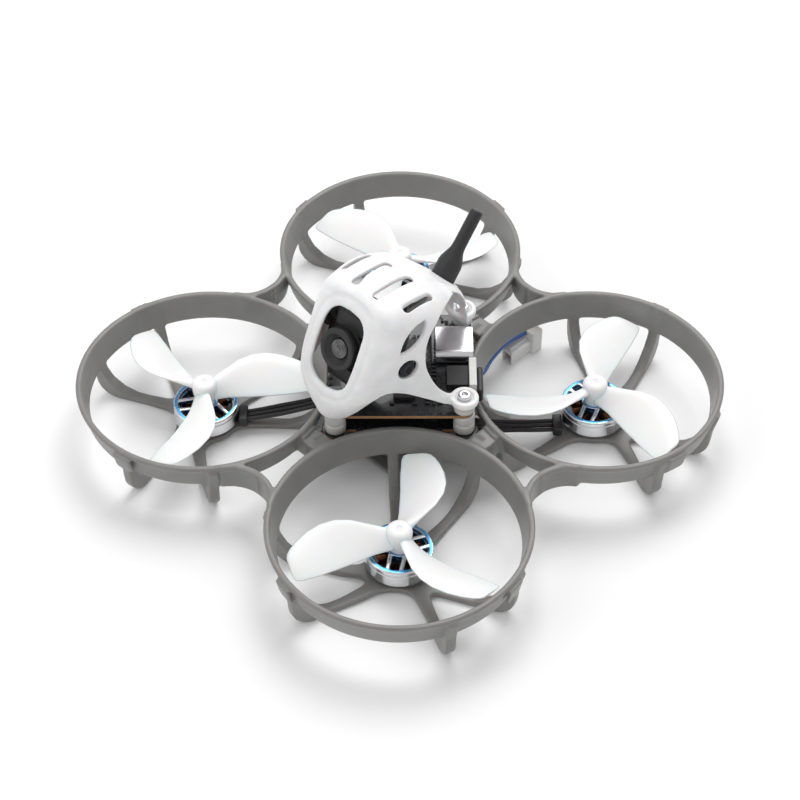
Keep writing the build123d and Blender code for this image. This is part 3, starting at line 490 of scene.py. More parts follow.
# ---- the canopy
PIVOT_Y, PIVOT_Z = -9.3, 30.2   # the camera's tilt axis, along X
CANOPY_WALL = 1.0
EAR_R, EAR_LOW, EAR_TOP = 2.85, 19.5, 20.9
WHIP_Y, WHIP_Z = 11.3, 32.0     # where the antenna leaves the canopy
WHIP_AXIS = Vector((0, 10.9, 13.0)).normalized()
STATION_Y = (-22, -18, -15, -12, -6, -3, 0, 5, 10, 14, 18, 22)
HALF_WIDTH = {
    15.0: (3.0, 4.0, 6.4, 9.2, 14.4, 17.0, 16.5, 12.0, 8.0, 5.0, 3.2, 2.8),
    18.0: (3.4, 4.4, 6.8, 9.2, 14.4, 16.8, 16.0, 12.0, 8.0, 5.0, 3.2, 2.8),
    21.5: (5.8, 7.0, 8.3, 10.0, 14.3, 16.3, 15.5, 12.0, 8.0, 5.0, 3.2, 2.8),
    25.0: (8.5, 9.1, 9.8, 11.0, 13.4, 14.6, 14.0, 11.5, 8.0, 5.0, 3.2, 2.8),
    28.0: (8.9, 9.4, 10.1, 11.2, 12.9, 13.4, 12.9, 11.0, 8.0, 5.0, 3.2, 2.8),
    31.0: (8.9, 9.5, 10.2, 11.2, 12.8, 13.1, 12.7, 10.9, 8.0, 5.0, 3.2, 2.8),
    37.0: (8.8, 9.2, 9.9, 10.8, 11.9, 12.2, 11.9, 10.5, 7.7, 4.8, 3.1, 2.8),
    41.0: (8.0, 8.5, 9.3, 10.2, 11.3, 11.7, 11.4, 10.0, 7.4, 4.6, 3.0, 2.8),
    46.0: (6.4, 7.0, 7.8, 8.8, 10.0, 10.4, 10.2, 9.0, 6.8, 4.3, 3.0, 2.8),
}
ROOF = [(-13.2, 41.7), (-10.8, 43.9), (-4.4, 43.9), (0.6, 42.8), (4.9, 40.8), (9.1, 36.7),
        (13.8, 31.5), (16.5, 27.5), (17.7, 23.7), (18.1, 19.5)]
FACE = [(-15.9, 37.5), (-18.0, 33.0), (-19.8, 29.0), (-21.1, 25.2), (-21.9, 22.4), (-21.9, 20.0),
        (-21.6, 18.1)]
ARCH = [(-19.0, 18.1), (-18.6, 20.0), (-17.8, 22.6), (-16.3, 24.6), (-13.4, 25.3), (-10.4, 24.0),
        (-6.9, 21.8), (-3.2, 19.5)]
SIDE = [(-1.2, 18.5), (-1.7, 20.8), (-4.0, 23.8), (-5.4, 29.7), (-4.9, 33.6), (-3.1, 36.5),
        (0.3, 38.5), (4.8, 38.2), (9.2, 35.2), (12.5, 31.2), (14.9, 27.4), (16.2, 23.8), (16.5, 18.5)]
WINDOW = [(0, 40.9), (3.0, 40.4), (4.9, 38.4), (5.3, 34.5), (5.2, 30.0), (4.6, 27.6), (2.8, 25.9),
          (0, 25.2)]


def build_canopy():
    f = Field((-22.0, -22.6, 17.4), (22.0, 22.2, 45.4), 0.22)
    x, y, z = np.abs(f.x), f.y, f.z
    ys, zs = f.axes[1], f.axes[2]
    heights = sorted(HALF_WIDTH)
    dense = {}
    for h in heights:
        line = np.array(smooth_line(list(zip(STATION_Y, HALF_WIDTH[h]))))
        dense[h] = np.interp(ys, line[:, 0], line[:, 1])
    table = np.stack([dense[h] for h in heights])
    half = np.stack([np.interp(zs, heights, table[:, j]) for j in range(len(ys))])[None]
    outline = smooth_line(ROOF) + [(18.1, 14), (-21.6, 14)] + smooth_line(FACE)[::-1]
    flat = polygon(ys[:, None], zs[None, :], outline)
    form = np.empty((len(f.axes[0]), len(ys), len(zs)))
    for i, xi in enumerate(f.axes[0]):
        drop = 1.3 * (xi / 8.85)**2 / f.step
        whole, part = int(drop), drop - int(drop)
        lifted = np.take(flat, np.minimum(np.arange(len(zs)) + whole, len(zs) - 1), 1)
        upper = np.take(flat, np.minimum(np.arange(len(zs)) + whole + 1, len(zs) - 1), 1)
        shifted = lifted * (1 - part) + upper * part
        lean_in = np.clip((zs - 30) / 8, 0, 1)[None]
        form[i] = shifted * lean_in + flat * (1 - lean_in)
    body = both(form, (x - half) * 0.97, 3.6)
    shell = both(body, -(body + CANOPY_WALL), 0.25)
    arch = smooth_line(ARCH) + [(24, 19.5), (24, 12), (-24, 12), (-24, 18.1)]
    shell = cut(shell, polygon(ys[:, None], zs[None, :], arch)[None], 0.3)
    side = smooth_line(SIDE)
    shell = cut(shell, polygon(ys[:, None], zs[None, :], side)[None], 0.3)
    front = np.interp(zs, [v for _, v in FACE[3::-1]], [u for u, _ in FACE[3::-1]])[None, None, :]
    opening = smooth_line(WINDOW)
    opening = opening + [(-u, v) for u, v in opening[-2:0:-1]]
    window = polygon(f.axes[0][:, None], zs[None, :], opening)[:, None, :]
    shell = cut(shell, np.maximum(window, y - front - 5.0), 0.5)
    groove = np.abs(window - 1.9) - 0.35
    shell = cut(shell, both(groove, -(body + 0.12), 0.3) + 0.0 * y, 0.4)
    for middle, (cy, length, half_slot) in {2.95: (-4.65, 10.3, 0.98), 8.5: (-3.5, 7.6, 0.75)}.items():
        ends = [(middle, cy + side * (length / 2 - half_slot)) for side in (-1, 1)]
        slot = capsule2(x, y, *ends) - half_slot
        shell = cut(shell, np.maximum(slot, 38 - z), 0.25)
    hole = np.maximum(np.hypot(y - PIVOT_Y, z - PIVOT_Z) - 2.2, 6 - x)
    shell = cut(shell, hole, 0.15)
    over, up = y + 7.4, z - 37.1
    along, across = over * 0.79 + up * 0.61, up * 0.79 - over * 0.61
    leaf = both(np.hypot(along, across - 4.3) - 6.1, np.hypot(along, across + 4.3) - 6.1, 0.2)
    vent = np.maximum(leaf, 6 - x)
    shell = cut(shell, vent, 0.25)
    for cx, cy in ((STACK, 0), (0, STACK)):
        ear = both(np.hypot(x - cx, y - cy) - EAR_R, slab(z, EAR_LOW, EAR_TOP), 0.3)
        shell = join(shell, ear, 1.0)
    nose = both(np.hypot(x, y + STACK) - 3.2, slab(z, 18.1, 20.8), 0.4)
    shell = join(shell, nose, 0.8)
    shell = cut(shell, np.maximum(np.hypot(x, y + STACK) - 2.25, z - 19.5), 0.15)
    for cx, cy, r, top in ((STACK, 0, 1.5, 24), (0, STACK, 1.55, 23), (0, -STACK, 1.5, 22)):
        near = np.hypot(x - cx, y - cy)
        shell = cut(shell, np.maximum(near - r - 0.3, slab(z, 20.6, top)), 0.12)
        shell = cut(shell, near - 0.78, 0.1)
    along = (y - WHIP_Y) * WHIP_AXIS.y + (z - WHIP_Z) * WHIP_AXIS.z
    radial = np.sqrt(np.maximum(x**2 + (y - WHIP_Y)**2 + (z - WHIP_Z)**2 - along**2, 0))
    collar = both(radial - 3.3, slab(along, -2.2, 1.0), 0.4)
    shell = join(shell, collar, 1.0)
    shell = cut(shell, np.maximum(radial - 2.65, slab(along, -5, 6)), 0.15)
    place("canopy_shell", f.mesh(shell, "canopy_shell"), "frame", "canopy_plastic", "canopy",
          replaces=("canopy",))


build_canopy()


# ---- helpers for turned and lofted pieces
def bm_mesh(name, bm, smooth=True):
    bmesh.ops.recalc_face_normals(bm, faces=bm.faces)
    mesh = bpy.data.meshes.new(name)
    bm.to_mesh(mesh)
    bm.free()
    if smooth:
        mesh.shade_smooth()
    return mesh


def face_rows(mesh, what):
    """The normal or the centre of each face, one row per face."""
    values = np.empty(len(mesh.polygons) * 3)
    mesh.polygons.foreach_get(what, values)
    return values.reshape(-1, 3)


def lathe(profile, segments=64):
    """A turned form from (radius, height) points in millimetres, as a bmesh."""
    bm = bmesh.new()
    rings = []
    for r, h in profile:
        if r < 1e-6:
            rings.append([bm.verts.new((0, 0, h * MM))])
            continue
        rings.append([bm.verts.new((r * MM * math.cos(t), r * MM * math.sin(t), h * MM))
                      for t in (2 * math.pi * i / segments for i in range(segments))])
    for a, b in zip(rings, rings[1:]):
        for i in range(segments):
            j = (i + 1) % segments
            quad = [a[i % len(a)], a[j % len(a)], b[j % len(b)], b[i % len(b)]]
            unique = list(dict.fromkeys(quad))
            if len(unique) > 2:
                bm.faces.new(unique)
    return bm


def merge(bm, part):
    """Moves a finished bmesh into another."""
    extra = bpy.data.meshes.new("part")
    part.to_mesh(extra)
    part.free()
    bm.from_mesh(extra)


def bevel(obj, width, segments=3, angle=30):
    m = obj.modifiers.new("bevel", "BEVEL")
    m.width, m.segments, m.limit_method = width * MM, segments, "ANGLE"
    m.angle_limit = math.radians(angle)
    return obj


def add_block(bm, centre, size, turn=0.0, material=0):
    """A box of the given size in millimetres, turned about Z, with one material."""
    made = bmesh.ops.create_cube(bm, size=1.0)["verts"]
    matrix = Matrix.Translation(Vector(centre) * MM) @ Matrix.Rotation(turn, 4, "Z")
    bmesh.ops.transform(bm, verts=made, matrix=matrix @ Matrix.Diagonal((*[s * MM for s in size], 1)))
    for face in {g for v in made for g in v.link_faces}:
        face.material_index = material


def at_motor(corner, height=0.0):
    sx, sy = CORNERS[corner]
    return Matrix.Translation(Vector((sx * REACH, sy * REACH, height)) * MM)


# ---- motors
BELL_BAND = 5.35                # height of the turned line round the bell
BELL_RIM = 5.75                 # radius of the bell's top windows
ARM_IN, ARM_OUT = 2.2, 5.9      # radii at the two ends of each arm


def build_bell_mesh():
    f = Field((-7.1, -7.1, 2.2), (7.1, 7.1, 6.8), 0.1)
    x, y, z = f.x, f.y, f.z
    rho, angle = np.hypot(x, y), np.arctan2(y, x)
    drum = both(rho - 6.8, slab(z, 2.4, 6.5), 0.45)
    drum = cut(drum, np.maximum(rho - 6.15, z - 5.45), 0.1)
    band = np.abs(z - BELL_BAND) - 0.12
    drum = cut(drum, np.maximum(band, 6.66 - rho), 0.06)
    windows = np.maximum(rho - BELL_RIM, 2.4 - rho)
    arms = np.full(windows.shape, 9.0)
    for k in range(3):
        a = math.radians(120 * k)
        for lean in (-1, 1):
            near, far = a + math.radians(40 * lean), a + math.radians(13 * lean)
            outer = (ARM_OUT * math.cos(far), ARM_OUT * math.sin(far))
            inner = (ARM_IN * math.cos(near), ARM_IN * math.sin(near))
            arm = capsule2(x, y, outer, inner)
            arms = np.minimum(arms, arm)
            windows = both(windows, 0.45 - arm, 0.25)
    drum = cut(drum, np.maximum(windows, 4.9 - z), 0.3)
    seat = both(rho - 2.5, slab(z, 5.4, 6.75), 0.15)
    drum = join(drum, seat, 0.1)
    drum = cut(drum, rho - 0.85, 0.08)
    mesh = f.mesh(drum, "motor_bell")
    mesh.materials.append(M["bell_side"].m)
    mesh.materials.append(M["bell_blue"].m)
    up, centre = face_rows(mesh, "normal"), face_rows(mesh, "center")
    radius = np.hypot(centre[:, 0], centre[:, 1]) / MM
    cell = ((centre / MM - f.low) / f.step).astype(int)
    on_arm = (arms[cell[:, 0], cell[:, 1], 0] < 0.5) & (radius > 2.6) & (radius < BELL_RIM)
    flat = np.abs(up[:, 2]) < 0.25
    blue = (centre[:, 2] > 5.3 * MM) & (radius < 6.5) & (((up[:, 2] > 0.97) & ~on_arm) | flat)
    mesh.polygons.foreach_set("material_index", blue.astype(np.int32))
    return mesh


bell_mesh = build_bell_mesh()
PHASE = {"front_left": 5.0, "front_right": 55.8, "rear_left": -5.5, "rear_right": 64.6}
TURN = {"front_left": -1, "front_right": 1, "rear_left": 1, "rear_right": -1}
BLADE_HEIGHT = 9.6
SECTION_POINTS = 20             # points round a blade's section
# along a blade: radius, chord, lead along the turn, pitch in degrees, thickness
STATIONS = [(1.6, 4.4, 0.0, 38, 2.2), (3.0, 5.2, 0.6, 34, 1.7), (5.5, 6.6, 1.5, 30, 1.15),
            (8.0, 8.4, 2.2, 27, 1.0), (11.0, 9.7, 2.5, 24, 0.92), (14.0, 10.0, 2.3, 21.5, 0.85),
            (17.0, 9.5, 1.6, 19, 0.75), (19.5, 8.3, 0.8, 17, 0.65), (21.2, 7.2, 0.1, 15.5, 0.55),
            (22.1, 6.0, -0.3, 14.5, 0.45), (22.5, 4.6, -0.5, 14, 0.3)]


HUB = [(0, 12.28), (0.34, 12.28), (0.4, 12.42), (1.5, 12.4), (2.15, 12.2), (2.52, 11.75), (2.6, 10.9),
       (2.5, 9.6), (2.3, 8.3), (2.1, 7.1), (2.15, 6.75), (0.8, 6.75), (0.8, 11.0), (0, 11.0)]


def build_propeller(corner):
    sense = TURN[corner]
    bm = bmesh.new()
    section = []
    for i in range(SECTION_POINTS):
        t = 2 * math.pi * i / SECTION_POINTS
        s = math.cos(t)
        swell = math.sin(t) * 0.5 * (1 - 0.35 * -s) * (1 - 0.15 * s * s)
        section.append((s * 0.5, swell + 0.10 * (1 - s * s)))
    dense = []
    for a, b in zip(STATIONS, STATIONS[1:]):
        for k in range(3):
            dense.append(tuple(p + (q - p) * k / 3 for p, q in zip(a, b)))
    dense.append(STATIONS[-1])
    for blade in range(3):
        angle = math.radians(PHASE[corner] + 120 * blade)
        outward = Vector((math.cos(angle), math.sin(angle), 0))
        forward = Vector((-math.sin(angle), math.cos(angle), 0)) * sense
        rings = []
        for r, chord, lead, pitch, thick in dense:
            level, rise = math.cos(math.radians(pitch)), math.sin(math.radians(pitch))
            along = forward * level + UP * rise
            normal = UP * level - forward * rise
            centre = outward * r + forward * lead + UP * BLADE_HEIGHT
            rings.append([bm.verts.new((centre + along * s * chord + normal * h * thick) * MM)
                          for s, h in section])
        for a, b in zip(rings, rings[1:]):
            for i in range(SECTION_POINTS):
                j = (i + 1) % SECTION_POINTS
                bm.faces.new((a[i], a[j], b[j], b[i]))
        bm.faces.new(rings[0])
        bm.faces.new(rings[-1][::-1])
    merge(bm, lathe(HUB, 48))
    bm.transform(at_motor(corner))
    place(f"blades_{corner}", bm_mesh(f"blades_{corner}", bm), f"rotor_{corner}", "propeller_plastic",
          "prop", replaces=(f"propeller_{corner}",))


LEAD_PITCH = 1.2
BLOCK_R = 7.7                   # the exit block's distance from the motor's middle
# distance from the motor's middle towards the drone's middle, and height
LEAD_ROUTE = [(8.6, 3.1), (12.0, 3.5), (16.0, 4.3), (20.5, 5.2), (24.0, 6.2), (26.4, 7.5), (27.0, 9.2),
              (27.1, 10.85)]
# how far the leads stand aside at the motor, and how that grows along them
LEAD_SIDE = {"front_left": (0.6, 0.08), "front_right": (-1.5, 0.08), "rear_left": (2.0, 0.2),
             "rear_right": (0.0, 0.08)}


def build_leads(corner):
    sx, sy = CORNERS[corner]
    mx, my = sx * REACH, sy * REACH
    start, drift = LEAD_SIDE[corner]
    for k, wire in enumerate((-1, 0, 1)):
        points = []
        for r, z in LEAD_ROUTE:
            aside = start + drift * r - wire * LEAD_PITCH
            points.append((mx - sx * (r - aside) / ROOT2, my - sy * (r + aside) / ROOT2,
                           z + 0.12 * math.sin(2.1 * r + k)))
        spline(f"motor_lead_{corner}_{k + 1}", points, 0.45, "frame", "black_wire", "wire_black",
               replaces=(f"motor_leads_{corner}",))
    facing = math.atan2(-my, -mx)
    bm = bmesh.new()
    aside = start + drift * BLOCK_R
    add_block(bm, (mx - sx * (BLOCK_R - aside) / ROOT2, my - sy * (BLOCK_R + aside) / ROOT2, 3.0),
              (1.9, 4.4, 2.3), facing)
    bevel(place(f"lead_block_{corner}", bm_mesh(f"lead_block_{corner}", bm, False), "frame", "black_wire",
                "wire_black"), 0.35)


TEETH = 9
LAYERS = 6                      # turns of wire along a tooth
COIL_STEPS = 16
COIL_IN = 2.75                  # radius at which the first turn starts
LAYER_PITCH = 0.3
COIL_WIDE, COIL_TALL, COIL_HEIGHT = 0.78, 1.25, 3.9
SWELL = 0.08                    # how far the middle of a turn stands out


def build_windings(corner):
    """Wound copper round each of the nine teeth."""
    bm = bmesh.new()
    wide, half = COIL_WIDE + SWELL, LAYER_PITCH / 2
    for k in range(TEETH):
        a = 2 * math.pi * k / TEETH
        for layer in range(LAYERS):
            r = COIL_IN + layer * LAYER_PITCH
            for step in range(COIL_STEPS):
                t0, t1 = 2 * math.pi * step / COIL_STEPS, 2 * math.pi * (step + 1) / COIL_STEPS
                quad = []
                for t, rr, grow in ((t0, r, 0), (t1, r, 0), (t1, r + half, SWELL), (t0, r + half, SWELL)):
                    quad.append((rr, (COIL_WIDE + grow) * math.cos(t),
                                 COIL_HEIGHT + (COIL_TALL + grow) * math.sin(t)))
                back_side = [(q[0] + half, q[1] * (COIL_WIDE / wide if i > 1 else wide / COIL_WIDE), q[2])
                             for i, q in enumerate(quad)]
                for loop in (quad, [quad[3], quad[2], back_side[2], back_side[3]]):
                    pts = [bm.verts.new(Matrix.Rotation(a, 3, "Z") @ (Vector(p) * MM)) for p in loop]
                    bm.faces.new(pts)
    bmesh.ops.remove_doubles(bm, verts=bm.verts, dist=1e-6)
    bm.transform(at_motor(corner))
    place(f"coils_{corner}", bm_mesh(f"coils_{corner}", bm), "frame", "copper", "copper",
          replaces=(f"windings_{corner}",))


for corner in CORNERS:
    shell = bell_mesh.copy()
    shell.transform(at_motor(corner) @ Matrix.Rotation(math.radians(PHASE[corner] + 60), 4, "Z"))
    place(f"bell_shell_{corner}", shell, f"rotor_{corner}", "bell_alloy", replaces=(f"bell_{corner}",))
    build_propeller(corner)
    build_leads(corner)
    build_windings(corner)
    for node, key in (("motor_base", "alloy"), ("stator", "stator"), ("magnets", "magnet"),
                      ("shaft", "steel")):
        paint(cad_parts[f"{node}_{corner}"], key)
paint(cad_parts["motor_screws"], "steel")


# ---- boards
def pq(p, q, z):
    """A point by its place along the boards' edges."""
    return ((p - q) / ROOT2, (p + q) / ROOT2, z)


LOWER_BOARD = (10.8, 11.7)      # the boards' low and high faces
UPPER_BOARD = (16.4, 17.2)
# chips: place on the board along p and q, size along p and q, height
UPPER_CHIPS = ((11.8, -4.3, 4.4, 5.6, 1.1), (0.5, 3.0, 7.0, 7.0, 0.9), (-8.0, 4.0, 6.0, 8.0, 1.4),
               (1.0, -9.0, 4.0, 3.0, 0.9), (-2.5, -3.5, 4.0, 3.0, 1.2))
LOWER_CHIPS = ((0, 0, 6.5, 6.5, 0.9), (8.6, -3.6, 3.4, 4.6, 0.8), (-7.4, -3.4, 4.0, 4.0, 0.8),
               (-3.0, -9.2, 5.0, 2.6, 1.1), (6.2, -9.6, 3.0, 3.0, 0.7), (-8.8, 7.2, 2.4, 4.0, 1.3))
# rows of small pale pads, the tiny parts' tinned ends brightened as painted highlights: place along p,
# first and last q, pitch
PAD_HIGHLIGHT_ROWS = ((5.0, -9, 9, 0.7), (5.7, -9, 9, 0.62), (6.4, -9, 8, 0.8), (7.2, 0, 8.6, 0.55),
            (8.7, -8.5, -1.5, 0.75), (9.3, -8.8, -1.2, 0.6), (9.9, -8.8, -1, 0.7))


def build_parts():
    rng = random.Random(7)
    bm = bmesh.new()

    def chip(p, q, sp, sq, base, tall, mat=0):
        add_block(bm, pq(p, q, base + tall / 2), (sp, sq, tall), BOARD_TURN, mat)

    def passive(p, q, base, along, mat=1, size=(1.0, 0.5, 0.35)):
        sp, sq = (size[0], size[1]) if along else (size[1], size[0])
        chip(p, q, sp * 0.62, sq if along else sq * 0.62, base, size[2], mat)
        for s in (-1, 1):
            dp, dq = (s * size[0] * 0.4, 0) if along else (0, s * size[0] * 0.4)
            cp, cq = (size[0] * 0.22, size[1]) if along else (size[1], size[0] * 0.22)
            chip(p + dp, q + dq, cp, cq, base, size[2] + 0.02, 2)

    top, low = UPPER_BOARD[1], LOWER_BOARD[1]
    for p, q, sp, sq, tall in UPPER_CHIPS:
        chip(p, q, sp, sq, top, tall, 0)
        for k in range(int(sq / 0.65)):
            for s in (-1, 1):
                chip(p + s * (sp / 2 + 0.12), q - sq / 2 + 0.4 + k * 0.65, 0.3, 0.26, top, 0.16, 2)
    for p, q, sp, sq, tall in LOWER_CHIPS:
        chip(p, q, sp, sq, low, tall, 0)
    for row in range(11):
        for p in (5.6, 6.9, 8.2):
            q = -11.4 + row * 1.15
            if rng.random() < 0.8 and not (p > 8 and -7.6 < q < -1):
                passive(p, q, top, rng.random() < 0.7, rng.choice((1, 1, 0)))
    for _ in range(70):
        p, q = rng.uniform(-13.5, 13.5), rng.uniform(-13.5, 13.5)
        if abs(abs(p) - 13) < 3.2 and abs(abs(q) - 13) < 3.2:
            continue
        if p > 6.4 and -9 < q < 9.5:
            continue
        passive(p, q, top, rng.random() < 0.5, rng.choice((1, 1, 0)))
    for side in range(4):
        a = side * math.pi / 2
        for k in range(9):
            s = -8.0 + 2.0 * k
            for base, edge in ((top, 14.1), (low, 13.4)):
                p, q = edge * math.cos(a) - s * math.sin(a), edge * math.sin(a) + s * math.cos(a)
                if base == top and p > 6 and -9.4 < q < 9.2:
                    continue
                if base == low and side == 3 and k in (3, 4, 5):
                    continue
                chip(p, q, 1.3, 1.0, base, 0.04, 3)
                if rng.random() < 0.6:
                    made = bmesh.ops.create_uvsphere(bm, u_segments=12, v_segments=8,
                                                     radius=0.48 * MM)["verts"]
                    flatten = Matrix.Diagonal((1, 1, 0.7, 1))
                    there = Matrix.Translation(Vector(pq(p, q, base)) * MM)
                    bmesh.ops.transform(bm, verts=made, matrix=there @ flatten)
                    for face in {g for v in made for g in v.link_faces}:
                        face.material_index = 2
    for p, q in ((9.6, 12.6), (6.1, 11.4), (10.4, -12.6), (7.6, -12.9)):
        chip(p, q, 1.1, 0.8, top, 0.05, 3)
    # pale flecks at the height of the parts' tops: tinned ends made bright as painted highlights
    for p, low_q, high_q, pitch in PAD_HIGHLIGHT_ROWS:
        for k in range(int((high_q - low_q) / pitch)):
            if rng.random() < 0.82:
                chip(p + rng.uniform(-0.06, 0.06), low_q + k * pitch, 0.42, 0.26, top + 0.3, 0.12, 4)
    for _ in range(60):
        chip(rng.uniform(-11, 11), rng.uniform(-13.6, -9.5), 0.5, 0.3, low, 0.3, 4)
    place("board_parts", bm_mesh("board_parts", bm, False), "frame", "chip",
          "chip", "ceramic", "solder", "gold", "pad", replaces=("board_components",))

    bm = bmesh.new()
    add_block(bm, pq(14.85, -4.4, top + 1.2), (1.5, 8.0, 2.4), BOARD_TURN)
    for k in range(6):
        add_block(bm, pq(13.9, -7.4 + 1.2 * k, top + 0.1), (0.7, 0.3, 0.2), BOARD_TURN, 2)
    bevel(place("video_connector", bm_mesh("video_connector", bm, False), "frame", "connector_plastic",
                "white_part", "shadow", "solder"), 0.12, 2)
    bm = bmesh.new()
    add_block(bm, pq(16.3, -5.4, 16.8), (1.3, 7.2, 3.3), BOARD_TURN)
    bevel(place("edge_boot", bm_mesh("edge_boot", bm, False), "frame", "chip", "wire_black"), 0.55, 4)


build_parts()


SCREW_PQ = 13                   # each board hole's distance from the middle along p and q


def build_board(name, low, high, half, r, node, lobes=0.0):
    f = Field((-half - 1.6, -half - 1.6, low - 0.3), (half + 1.6, half + 1.6, high + 0.3), 0.14)
    p, q, z = f.x, f.y, f.z
    d = box2(p, q, 0, 0, half, half, r)
    for sp in (-1, 1):
        for sq in (-1, 1):
            corner_r = np.hypot(p - SCREW_PQ * sp, q - SCREW_PQ * sq)
            if lobes:
                d = join(d, corner_r - lobes, 0.6)
            d = cut(d, corner_r - 0.75, 0.05)
    if lobes:
        for cp, cq, hp, hq in ((half, 0, 0.8, 4.5), (-half, 0, 0.8, 4.5), (0, half, 4.5, 0.8),
                               (0, -half, 4.5, 0.8)):
            d = cut(d, box2(p, q, cp, cq, hp * 2.6, hq * 1.15, 1.6), 0.3)
    d = both(d, slab(z, low, high), 0.06)
    mesh = f.mesh(d, name)
    mesh.transform(Matrix.Rotation(BOARD_TURN, 4, "Z"))
    mesh.materials.append(M["board"].m)
    mesh.materials.append(M["edge"].m)
    on_edge = np.abs(face_rows(mesh, "normal")[:, 2]) < 0.35
    mesh.polygons.foreach_set("material_index", on_edge.astype(np.int32))
    place(name, mesh, "frame", "board", replaces=(node,))


build_board("lower_board", *LOWER_BOARD, 14.2, 1.5, "flight_controller", 2.8)
build_board("upper_board", *UPPER_BOARD, 14.9, 2.0, "video_transmitter")

LOWER = [(0.75, 11.7), (1.9, 11.7), (2.15, 11.9), (2.15, 13.75), (1.95, 13.9), (1.85, 14.05), (1.95, 14.2),
         (2.15, 14.35), (2.15, 16.2), (1.9, 16.4), (0.75, 16.4)]
UPPER = [(0.75, 17.2), (1.9, 17.2), (2.15, 17.4), (2.15, 18.1), (1.95, 18.3), (1.75, 18.5), (1.75, 19.4),
         (0.75, 19.5)]
HEAD = [(0, 20.95), (0.62, 20.95), (0.68, 21.6), (1.05, 21.62), (1.3, 21.5), (1.4, 21.25), (1.4, 20.82),
        (0.7, 20.8), (0.7, 10.2), (0, 10.2)]
for name, profile, key, slot, node in (("lower_isolators", LOWER, "grommet", "grommet", "lower_grommets"),
                                       ("upper_isolators", UPPER, "grommet", "grommet", "upper_grommets"),
                                       ("stack_screws", HEAD, "steel", "steel", "canopy_screws")):
    bm = bmesh.new()
    for x, y in ((STACK, 0), (-STACK, 0), (0, STACK), (0, -STACK)):
        part = lathe(profile + ([profile[0]] if profile[0][0] > 0 else []), 40)
        if name == "stack_screws":
            for v in part.verts:
                r = math.hypot(v.co.x, v.co.y)
                if 1e-6 < r < 0.69 * MM and v.co.z > 20.9 * MM:
                    t = math.atan2(v.co.y, v.co.x)
                    k = math.cos(math.pi / 6) / math.cos((t % (math.pi / 3)) - math.pi / 6)
                    v.co.x, v.co.y = v.co.x * k, v.co.y * k
        part.transform(Matrix.Translation((x * MM, y * MM, 0)))
        merge(bm, part)
    obj = place(name, bm_mesh(name, bm), "frame", slot, key, replaces=(node,))
    bevel(obj, 0.08, 2, 40)

USB_MIDDLE, USB_HEIGHT = 4.2, 18.8
paint(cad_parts["usb_port"], "steel")
bm = bmesh.new()
# the socket's back wall and tongue take the near-black shadow material: real black plastic, darkened
# further as painted shadow inside the socket
add_block(bm, pq(9.9, USB_MIDDLE, USB_HEIGHT), (1.0, 8.0, 2.4), BOARD_TURN)
add_block(bm, pq(12.0, USB_MIDDLE, USB_HEIGHT), (4.2, 6.4, 0.62), BOARD_TURN)
bevel(place("usb_insert", bm_mesh("usb_insert", bm, False), "frame", "chip", "shadow"), 0.1, 2)


# ---- camera
PIVOT = Vector((0, PIVOT_Y, PIVOT_Z)) * MM
TILT = math.radians(20)
camera_frame = Matrix.Translation(PIVOT) @ Matrix((
    (1, 0, 0, 0), (0, math.sin(TILT), -math.cos(TILT), 0),
    (0, math.cos(TILT), math.sin(TILT), 0), (0, 0, 0, 1)))


BARREL = [(4.2, 5.0), (4.2, 5.6), (4.42, 5.7), (4.42, 6.5), (4.25, 6.6), (4.25, 6.8), (4.42, 6.9),
          (4.42, 8.45), (4.3, 8.68), (4.1, 8.75), (3.35, 8.75), (3.22, 8.68), (3.12, 8.4), (2.9, 8.34),
          (2.75, 8.0), (2.35, 7.9), (2.2, 7.55), (0, 7.4)]
GLASS = [(2.2, 7.5), (2.2, 7.85), (2.0, 8.05), (1.6, 8.2), (1.52, 8.16), (1.45, 8.22), (1.0, 8.32),
         (0.95, 8.28), (0.85, 8.33), (0.5, 8.39), (0, 8.41)]
TILT_SCREW = [(0, 10.7), (0.85, 10.7), (0.9, 11.9), (1.35, 11.9), (1.75, 11.7), (1.95, 11.3),
              (1.95, 9.9), (0.9, 9.8), (0.9, 6.8), (0, 6.8)]
KNURL = 0.978                   # how far each second line of the barrel's grip is drawn in


